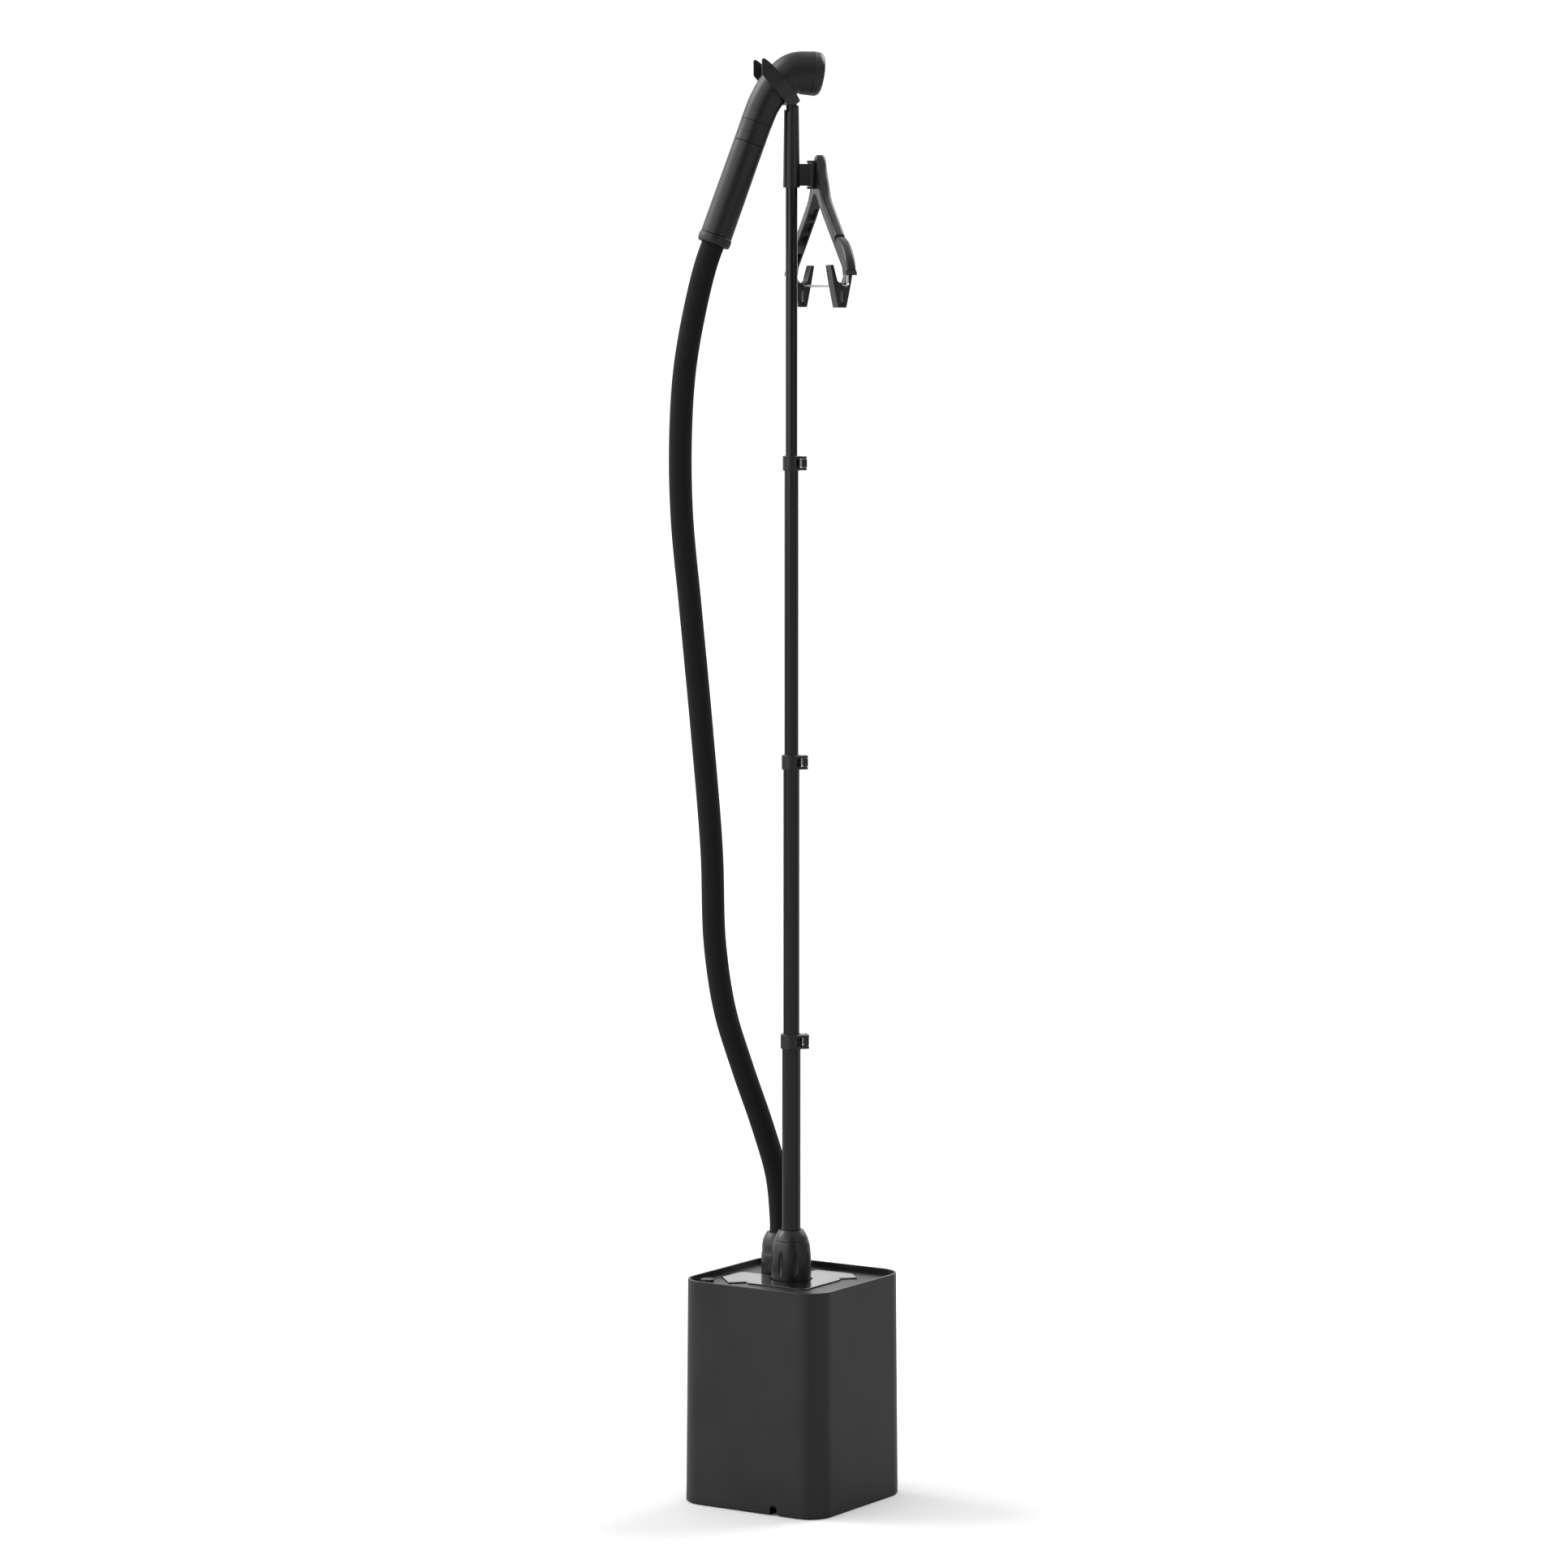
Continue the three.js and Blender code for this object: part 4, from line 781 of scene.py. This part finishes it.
# The fork's plan, drawn square to the neck, is kept only where its side view covers it.
def makeCradle():
    inner = cradle["gap"]
    outer = inner + cradle["wall"]
    end = outer + cradle["lip"]
    tip, mouth = cradle["open"], inner + cradle["flare"]
    plan = [(tip, -outer), (0, -outer), (outer - 0.008, -outer + 0.006), (end - 0.002, -0.011), (end, -0.008),
            (end, 0.008), (end - 0.002, 0.011), (outer - 0.008, outer - 0.006), (0, outer), (tip, outer)]
    arc = [(inner * math.cos(a), inner * math.sin(a)) for a in steps(math.pi / 2, -math.pi / 2, 32)]
    plan += [(tip, mouth), *arc, (tip, -mouth)]
    piece = drawnSlab(plan, -0.04, 0.04)
    tilt = Matrix.Rotation(math.radians(cradle["tilt"]), 4, "Y")
    settle(piece, Matrix.Translation(cradle["centre"]) @ tilt)
    upper = [(p.x, p.z) for p in smoothLine([(x, 0, z) for x, z in cradle["above"]], 0.003)]
    side = drawnSlab([*upper, *cradle["below"]], -0.03, 0.03)
    settle(side, Matrix.Rotation(math.pi / 2, 4, "X"))
    boolean(piece, side, "INTERSECT")
    bevelled(piece, cradle["edge"], 3, 40)
    stem = turnedPiece([(0.0001, cradle["stemLow"]), (cradle["stem"], cradle["stemLow"]),
                        (cradle["stem"], cradle["stemHigh"]), (0.0001, cradle["stemHigh"])], 48, False)
    fuse(piece, stem)
    settle(piece, mastPlane)
    smoothed(piece, 40)
    finished(piece, "forked_cradle", satinAbs, "cradle")


# Outlines of the handle's three rings: radius, and distance up the handle.
rings = {
    "handle_cap": [(0.0144, 0), (0.0176, 0), (0.0186, 0.0008), (0.0191, 0.003), (0.0193, 0.0052),
                   (0.0193, 0.0085), (0.019, 0.0098), (0.0185, 0.0103), (0.0144, 0.0103)],
    "handle_grip": [(0.0144, 0.0106), (0.0179, 0.0106), (0.0183, 0.011), (0.0183, 0.03), (0.01815, 0.065),
                    (0.018, 0.1), (0.018, 0.1219), (0.0176, 0.1223), (0.0144, 0.1223)],
    "handle_collar": [(0.0144, 0.1226), (0.0176, 0.1226), (0.018, 0.123), (0.018, 0.1335), (0.0177, 0.1337),
                      (0.0177, 0.1343), (0.018, 0.1345), (0.01805, 0.1472), (0.0177, 0.1476),
                      (0.0144, 0.1476)],
}
# The neck's stations, each with its place in x, its radius in y and its height in z.
neckLine = {
    "stations": [(-0.04107, 0.0181, 1.5994), (-0.0315, 0.0187, 1.622), (-0.0179, 0.0204, 1.6416),
                 (0.0025, 0.0238, 1.6553), (0.0222, 0.0253, 1.656)],
    "startTilt": 20.1, "endTilt": 98, "wall": 0.0024, "sides": 72, "step": 0.0035, "edge": 0.0004,
}
# The rim is given as distance in from its edge and out along the face.
head = {
    "radius": 0.0253, "plate": 0.0196, "plateLow": 0.0089, "plateHigh": 0.0113, "plateEdge": 0.0002,
    "hole": 0.0016, "circles": [(1, 0), (6, 0.007), (12, 0.014)],
    "rim": [(0.0024, 0.0003), (0.0004, 0.0003), (0, 0.0007), (0, 0.0063), (0.0003, 0.0079), (0.0010, 0.0096),
            (0.0021, 0.0111), (0.0032, 0.012), (0.0042, 0.0123), (0.0051, 0.0122), (0.0054, 0.0118),
            (0.0054, 0.0093), (0.0024, 0.0078)],
}
facePlane = mastPlane @ Matrix.Translation((neckLine["stations"][-1][0], 0, neckLine["stations"][-1][2])) \
    @ Matrix.Rotation(math.radians(neckLine["endTilt"]), 4, "Y")


def makeHandle():
    for node, profile in rings.items():
        piece = turnedPiece(profile, 96)
        settle(piece, handlePlane)
        smoothed(piece, 30)
        finished(piece, "turned_" + node, gripAbs, node)


# The neck starts as a ring on the collar and is drawn out, turned and widened ring by ring.
def makeNeck():
    line = smoothLine(neckLine["stations"], neckLine["step"])
    tilts = []
    for i in range(len(line)):
        a, b = line[max(0, i - 1)], line[min(len(line) - 1, i + 1)]
        tilts.append(math.atan2(b.x - a.x, b.z - a.z))
    tilts[0] = math.radians(neckLine["startTilt"])
    last = math.radians(neckLine["endTilt"])
    for k, share in enumerate((1, 0.7, 0.35)):
        tilts[-1 - k] += (last - tilts[-1 - k]) * share
    deselect()
    bpy.ops.mesh.primitive_circle_add(vertices=neckLine["sides"], radius=line[0].y,
                                      location=(line[0].x, 0, line[0].z), rotation=(0, tilts[0], 0))
    piece = bpy.context.object
    applyPlace()
    bpy.ops.object.mode_set(mode="EDIT")
    bpy.ops.mesh.select_all(action="SELECT")
    for i in range(1, len(line)):
        step = line[i] - line[i - 1]
        bpy.ops.mesh.extrude_region_move(TRANSFORM_OT_translate={"value": (step.x, 0, step.z)})
        centre = (line[i].x, 0, line[i].z)
        bpy.ops.transform.rotate(value=tilts[i - 1] - tilts[i], orient_axis="Y", center_override=centre)
        grow = line[i].y / line[i - 1].y
        bpy.ops.transform.resize(value=(grow, grow, grow), center_override=centre)
    bpy.ops.mesh.select_all(action="SELECT")
    bpy.ops.mesh.normals_make_consistent(inside=False)
    bpy.ops.object.mode_set(mode="OBJECT")
    wall = piece.modifiers.new("wall", "SOLIDIFY")
    wall.thickness = neckLine["wall"]
    wall.offset = -1
    applyModifiers(piece)
    bevelled(piece, neckLine["edge"], 2, 50)
    settle(piece, mastPlane)
    smoothed(piece, 35)
    finished(piece, "moulded_neck", gripAbs, "neck")


def makeHead():
    piece = turnedPiece([(head["radius"] - inward, out) for inward, out in head["rim"]], 96)
    settle(piece, facePlane)
    smoothed(piece, 30)
    finished(piece, "head_bezel", satinAbs, "head_ring")
    depth = head["plateHigh"] - head["plateLow"]
    middle = (head["plateHigh"] + head["plateLow"]) / 2
    plate = rodAt((0, 0, middle), head["plate"], depth, 72)
    drills = []
    for count, reach in head["circles"]:
        for i in range(count):
            angle = 2 * math.pi * i / count
            place = (reach * math.cos(angle), reach * math.sin(angle), middle)
            drills.append(rodAt(place, head["hole"], 8 * depth, 24))
    cutAway(plate, joined(drills))
    bevelled(plate, head["plateEdge"], 2, 40)
    settle(plate, facePlane)
    smoothed(plate, 30)
    finished(plate, "drilled_steam_plate", satinAbs, "steam_plate")


hanger = {
    "back": 0.0271, "front": 0.0395, "round": 0.0042,
    "crest": [(0, 1.563), (0.004, 1.5618), (0.008, 1.557), (0.014, 1.546), (0.023, 1.534), (0.037, 1.515),
              (0.065, 1.497), (0.097, 1.478), (0.107, 1.4715)],
    "notch": [(0.107, 1.48), (0.107, 1.4655), (0.1085, 1.4632), (0.112, 1.4611), (0.114, 1.4622),
              (0.1138, 1.48)],
    "tip": [(0.112, 1.4685), (0.12, 1.467), (0.134, 1.4625), (0.148, 1.4545), (0.160, 1.443), (0.168, 1.425)],
    "under": [(0.150, 1.425), (0.146, 1.434), (0.043, 1.493), (0.026, 1.504), (0.009, 1.517)],
    "foot": (0, 1.519),
    "pockets": [(0.030, 0.052, 0.0055), (0.055, 0.077, 0.0055), (0.080, 0.101, 0.0055),
                (0.117, 0.138, 0.012)],
    "pocketWall": 0.0018, "pocketSlope": 0.573, "pocketFrom": (0.026, 1.503), "pocketDrop": 0.009,
    "shoulder": 1.442,
}
pivot = {
    "out": 0.0245, "radius": 0.0056, "pin": 0.002, "low": 1.527, "high": 1.5534, "lug": 0.0027,
    "gap": 0.0003, "edge": 0.0004, "cover": 0.0008,
}


# Picks the edges on the shoulder line, above the arms' underside.
def alongTop(ends):
    middle = (ends[0] + ends[1]) / 2
    armEnd, armStart = hanger["under"][1][0], hanger["under"][-1][0]
    underside = hanger["shoulder"] + hanger["pocketSlope"] * (armEnd - abs(middle.x))
    if abs(middle.x) < armStart:
        underside = hanger["foot"][1]
    return abs(ends[0].z - ends[1].z) < 0.001 and middle.y > underside


def makeHanger():
    right = []
    for run in ("crest", "tip"):
        line = smoothLine([(x, 0, z) for x, z in hanger[run]], 0.004)
        right += [(p.x, p.z) for p in line]
    right += hanger["under"]
    left = [(-x, z) for x, z in reversed(right[1:])]
    piece = drawnSlab([*right, hanger["foot"], *left], hanger["back"], hanger["front"])
    pick(piece, "EDGE", alongTop)
    bpy.ops.mesh.bevel(offset=hanger["round"], segments=6, affect="EDGES", clamp_overlap=False)
    bpy.ops.object.mode_set(mode="OBJECT")
    for side in (-1, 1):
        outline = [(side * x, z) for x, z in hanger["notch"]]
        cutAway(piece, drawnSlab(outline, hanger["back"] - 0.01, hanger["front"] + 0.01))
    wall, slope, drop = hanger["pocketWall"], hanger["pocketSlope"], hanger["pocketDrop"]
    firstY, firstZ = hanger["pocketFrom"]
    for side in (-1, 1):
        for start, end, rise in hanger["pockets"]:
            floors = [firstZ - slope * (y - firstY) for y in (start, end)]
            pocket = drawnSlab([(side * start, floors[0] - drop), (side * end, floors[1] - drop),
                                (side * end, floors[1] + rise), (side * start, floors[0] + rise)],
                               hanger["back"] + wall, hanger["front"] - wall)
            cutAway(piece, pocket)
    settle(piece, standing)
    low, high, lug, gap = pivot["low"], pivot["high"], pivot["lug"], pivot["gap"]
    r = pivot["radius"] + pivot["cover"]
    for bottom in (low - gap - lug, high + gap):
        turns = steps(math.pi / 2, 1.5 * math.pi, 20)
        outline = [(pivot["out"] + r * math.cos(a), r * math.sin(a)) for a in turns]
        outline += [(hanger["back"] + 0.001, -r), (hanger["back"] + 0.001, r)]
        ear = drawnSlab(outline, bottom, bottom + lug)
        bevelled(ear, pivot["edge"], 2, 40)
        fuse(piece, ear)
    place = (pivot["out"], 0, (low + high) / 2)
    cutAway(piece, rodAt(place, pivot["radius"] + 2 * gap, high - low + 2 * gap, 48))
    cutAway(piece, rodAt(place, pivot["pin"] + gap, high - low + 0.014, 32))
    for side in (-1, 1):
        place = (bar["out"], side * bar["reach"], bar["end"] - 0.012)
        cutAway(piece, rodAt(place, bar["radius"] + gap, 0.03, 24))
    settle(piece, mastPlane)
    smoothed(piece, 40)
    finished(piece, "ribbed_hanger", hangerPlastic, "hanger")


bar = {"radius": 0.00125, "out": 0.0333, "reach": 0.157, "level": 1.413, "bend": 0.005, "end": 1.434}
# A clip's side outline is in millimetres from the pivot. Each rib sits a little further out than the last.
clip = {
    "length": 0.028, "centre": 0.106, "edge": 0.0005, "gap": 0.0003,
    "side": [(-0.35, -24.5), (-4.9, -24.5), (-10.4, 4), (-13.6, 23.5), (-10.2, 24), (-5.4, 5.6), (-2.6, 3.4),
             (-0.9, 2.6), (-0.35, 0), (-0.35, -5), (-1.6, -6.5), (-1.6, -17), (-0.35, -18.5)],
    "coil": 0.003, "wire": 0.00045, "turns": 6, "coilLength": 0.0072, "coilRoom": 0.001,
    "ribs": 5, "rib": (0.0012, 0.023, 0.0011), "ribLow": 0.008, "ribStep": 0.0028, "ribOut": 0.0104,
    "ribLean": 9.3, "ribSlope": 0.1641, "leanFrom": 0.004,
}


# The bar is bent cold from one wire: a straight run, a bend and an upright end, mirrored.
def makeBar():
    deselect()
    bpy.ops.mesh.primitive_circle_add(vertices=20, radius=bar["radius"],
                                      location=(bar["out"], 0, bar["level"]), rotation=(math.pi / 2, 0, 0))
    piece = bpy.context.object
    applyPlace()
    bpy.ops.object.mode_set(mode="EDIT")
    bpy.ops.mesh.select_all(action="SELECT")
    straight = bar["reach"] - bar["bend"]
    bpy.ops.mesh.extrude_region_move(TRANSFORM_OT_translate={"value": (0, straight, 0)})
    bpy.ops.mesh.spin(steps=10, angle=math.pi / 2, center=(bar["out"], straight, bar["level"] + bar["bend"]),
                      axis=(1, 0, 0))
    rise = bar["end"] - bar["level"] - bar["bend"]
    bpy.ops.mesh.extrude_region_move(TRANSFORM_OT_translate={"value": (0, 0, rise)})
    bpy.ops.mesh.edge_face_add()
    bpy.ops.object.mode_set(mode="OBJECT")
    mirror = piece.modifiers.new("other half", "MIRROR")
    mirror.use_axis = (False, True, False)
    applyModifiers(piece)
    makeActive(piece)
    bpy.ops.object.mode_set(mode="EDIT")
    bpy.ops.mesh.select_all(action="SELECT")
    bpy.ops.mesh.remove_doubles(threshold=0.00001)
    bpy.ops.mesh.normals_make_consistent(inside=False)
    bpy.ops.object.mode_set(mode="OBJECT")
    settle(piece, mastPlane)
    smoothed(piece, 50)
    finished(piece, "bent_trouser_bar", brightSteel, "trouser_bar")


def copyOf(piece, shift):
    made = piece.copy()
    made.data = piece.data.copy()
    bpy.context.scene.collection.objects.link(made)
    settle(made, Matrix.Translation(shift))
    return made


def makeClips():
    place = mastPlane @ Matrix.Translation((bar["out"], -clip["centre"], bar["level"]))
    apart = mastPlane.to_3x3() @ Vector((0, 2 * clip["centre"], 0))
    half = clip["length"] / 2
    for kind, side in (("jaw", 1), ("press", -1)):
        points = [(side * x / 1000, z / 1000) for x, z in clip["side"]]
        piece = drawnSlab(points, -half, half)
        bevelled(piece, clip["edge"], 2, 30)
        settle(piece, Matrix.Rotation(math.pi / 2, 4, "X"))
        for i in range(clip["ribs"]):
            high = clip["ribLow"] + clip["ribStep"] * i
            out = clip["ribOut"] + (high - clip["leanFrom"]) * clip["ribSlope"]
            lean = -side * math.radians(clip["ribLean"])
            cutAway(piece, boxAt((-side * out, 0, high), clip["rib"], (0, lean, 0)))
        for radius, length in ((bar["radius"] + clip["gap"], 0.04),
                               (clip["coil"] + clip["coilRoom"], clip["coilLength"] + 0.0008)):
            cutAway(piece, rodAt((0, 0, 0), radius, length, 32, (math.pi / 2, 0, 0)))
        settle(piece, place)
        smoothed(piece, 35)
        other = copyOf(piece, apart)
        for number, made in ((1, piece), (2, other)):
            node = "clip_%s_%d" % (kind, number)
            finished(made, "serrated_" + node, satinAbs, node)
    # the springs, wound from a small ring of wire
    deselect()
    bpy.ops.mesh.primitive_circle_add(vertices=12, radius=clip["wire"], location=(clip["coil"], 0, 0),
                                      rotation=(math.pi / 2, 0, 0))
    piece = bpy.context.object
    applyPlace()
    coil = piece.modifiers.new("coil", "SCREW")
    coil.screw_offset = clip["coilLength"] / (clip["turns"] + 1)
    coil.iterations = clip["turns"]
    coil.steps = coil.render_steps = 32
    applyModifiers(piece)
    makeActive(piece)
    bpy.ops.object.mode_set(mode="EDIT")
    bpy.ops.mesh.select_all(action="SELECT")
    bpy.ops.mesh.remove_doubles(threshold=0.000001)
    bpy.ops.mesh.fill_holes(sides=0)
    bpy.ops.mesh.normals_make_consistent(inside=False)
    bpy.ops.object.mode_set(mode="OBJECT")
    rise = clip["coilLength"] * clip["turns"] / (clip["turns"] + 1)
    settle(piece, place @ Matrix.Rotation(math.pi / 2, 4, "X") @ Matrix.Translation((0, 0, -rise / 2)))
    smoothed(piece, 60)
    other = copyOf(piece, apart)
    for number, made in ((1, piece), (2, other)):
        node = "clip_spring_%d" % number
        finished(made, "coiled_" + node, brightSteel, node)


foot = {"radius": 0.01, "height": 0.0022}


def makeFeet():
    for number in (1, 2, 3, 4):
        node = "foot_%d" % number
        low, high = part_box(node)
        r, h = foot["radius"], foot["height"]
        piece = turnedPiece([(0.0001, 0), (r - 0.001, 0), (r, 0.0006), (r, h), (0.0001, h)], 48, False)
        settle(piece, Matrix.Translation(((low.x + high.x) / 2, (low.y + high.y) / 2, 0)))
        smoothed(piece, 30)
        finished(piece, "moulded_" + node, footRubber, node)


makeHousing()
makeTop()
print("base made")
makeMastNut()
makeHoseNut()
print("nuts made")
makeTubes()
makeClamps()
makeSleeve()
makeCradle()
print("mast made")
makeHandle()
makeNeck()
makeHead()
print("handset made")
makeHanger()
makeBar()
makeClips()
makeFeet()
print("hanger, clips and feet made")


# The studio round the object, by compass direction (degrees, counter-clockwise from +x) and brightness.
# The floor is white to the camera and grey to reflections, so that it doesn't whiten the upright faces.
studio = {
    "walls": [(181, 0.8), (193, 0.4), (204, 0.05), (238, 0.04), (248, 0.36), (262, 0.42), (285, 0.1),
              (338, 0.08), (355, 0.62), (100, 0.62), (130, 1), (165, 1)],
    "zenith": 0.3,
    "strength": 1.8,
    "floor": "#f8f8f8",
    "floorSeenByThings": "#a4a4a4",
    "suns": [(103, 40), (343, 40)],
    "sunPower": 1.7,
    "sunAngle": 40,
}


def makeStudio():
    deselect()
    bpy.ops.mesh.primitive_plane_add(size=60)
    floor = bpy.context.object
    floor.name = "floor"
    material, tree, shader = newMaterial("pale_floor", {"Roughness": 0.8, "Specular IOR Level": 0.1})
    seen = addNode(tree, "ShaderNodeLightPath")
    tone = addNode(tree, "ShaderNodeMix", {"data_type": "RGBA"}, {"Factor": seen.outputs["Is Camera Ray"]})
    tone.inputs[6].default_value = linear(studio["floorSeenByThings"])
    tone.inputs[7].default_value = linear(studio["floor"])
    tree.links.new(tone.outputs[2], shader.inputs["Base Color"])
    floor.data.materials.append(material)
    world = bpy.data.worlds.new("studio")
    world.use_nodes = True
    tree = world.node_tree
    background = tree.nodes["Background"]
    background.inputs["Strength"].default_value = studio["strength"]
    place = addNode(tree, "ShaderNodeTexCoord")
    compass = addNode(tree, "ShaderNodeTexGradient", {"gradient_type": "RADIAL"},
                      {"Vector": place.outputs["Generated"]})
    walls = addNode(tree, "ShaderNodeValToRGB", {}, {"Fac": compass.outputs["Fac"]})
    stops = walls.color_ramp.elements
    ordered = sorted(((direction + 180) % 360 / 360, light) for direction, light in studio["walls"])
    for i, (position, light) in enumerate(ordered):
        stop = stops[i] if i < 2 else stops.new(position)
        stop.position = position
        stop.color = (light, light, light, 1)
    up = addNode(tree, "ShaderNodeSeparateXYZ", {}, {"Vector": place.outputs["Generated"]})
    lift = addNode(tree, "ShaderNodeMapRange",
                   {"interpolation_type": "SMOOTHSTEP", "From Min": 0.45, "From Max": 0.85},
                   {"Value": up.outputs["Z"]})
    sky = addNode(tree, "ShaderNodeMix", {"data_type": "RGBA"}, {"Factor": lift.outputs["Result"]})
    sky.inputs[7].default_value = (*[studio["zenith"]] * 3, 1)
    tree.links.new(walls.outputs["Color"], sky.inputs[6])
    tree.links.new(sky.outputs[2], background.inputs["Color"])
    bpy.context.scene.world = world
    for direction, height in studio["suns"]:
        deselect()
        turn = (math.radians(90 - height), 0, math.radians(direction + 90))
        bpy.ops.object.light_add(type="SUN", location=(0, 0, 4), rotation=turn)
        lamp = bpy.context.object
        lamp.data.energy = studio["sunPower"]
        lamp.data.angle = math.radians(studio["sunAngle"])


makeStudio()
bpy.context.scene.view_settings.view_transform = "Standard"
print("studio lit")
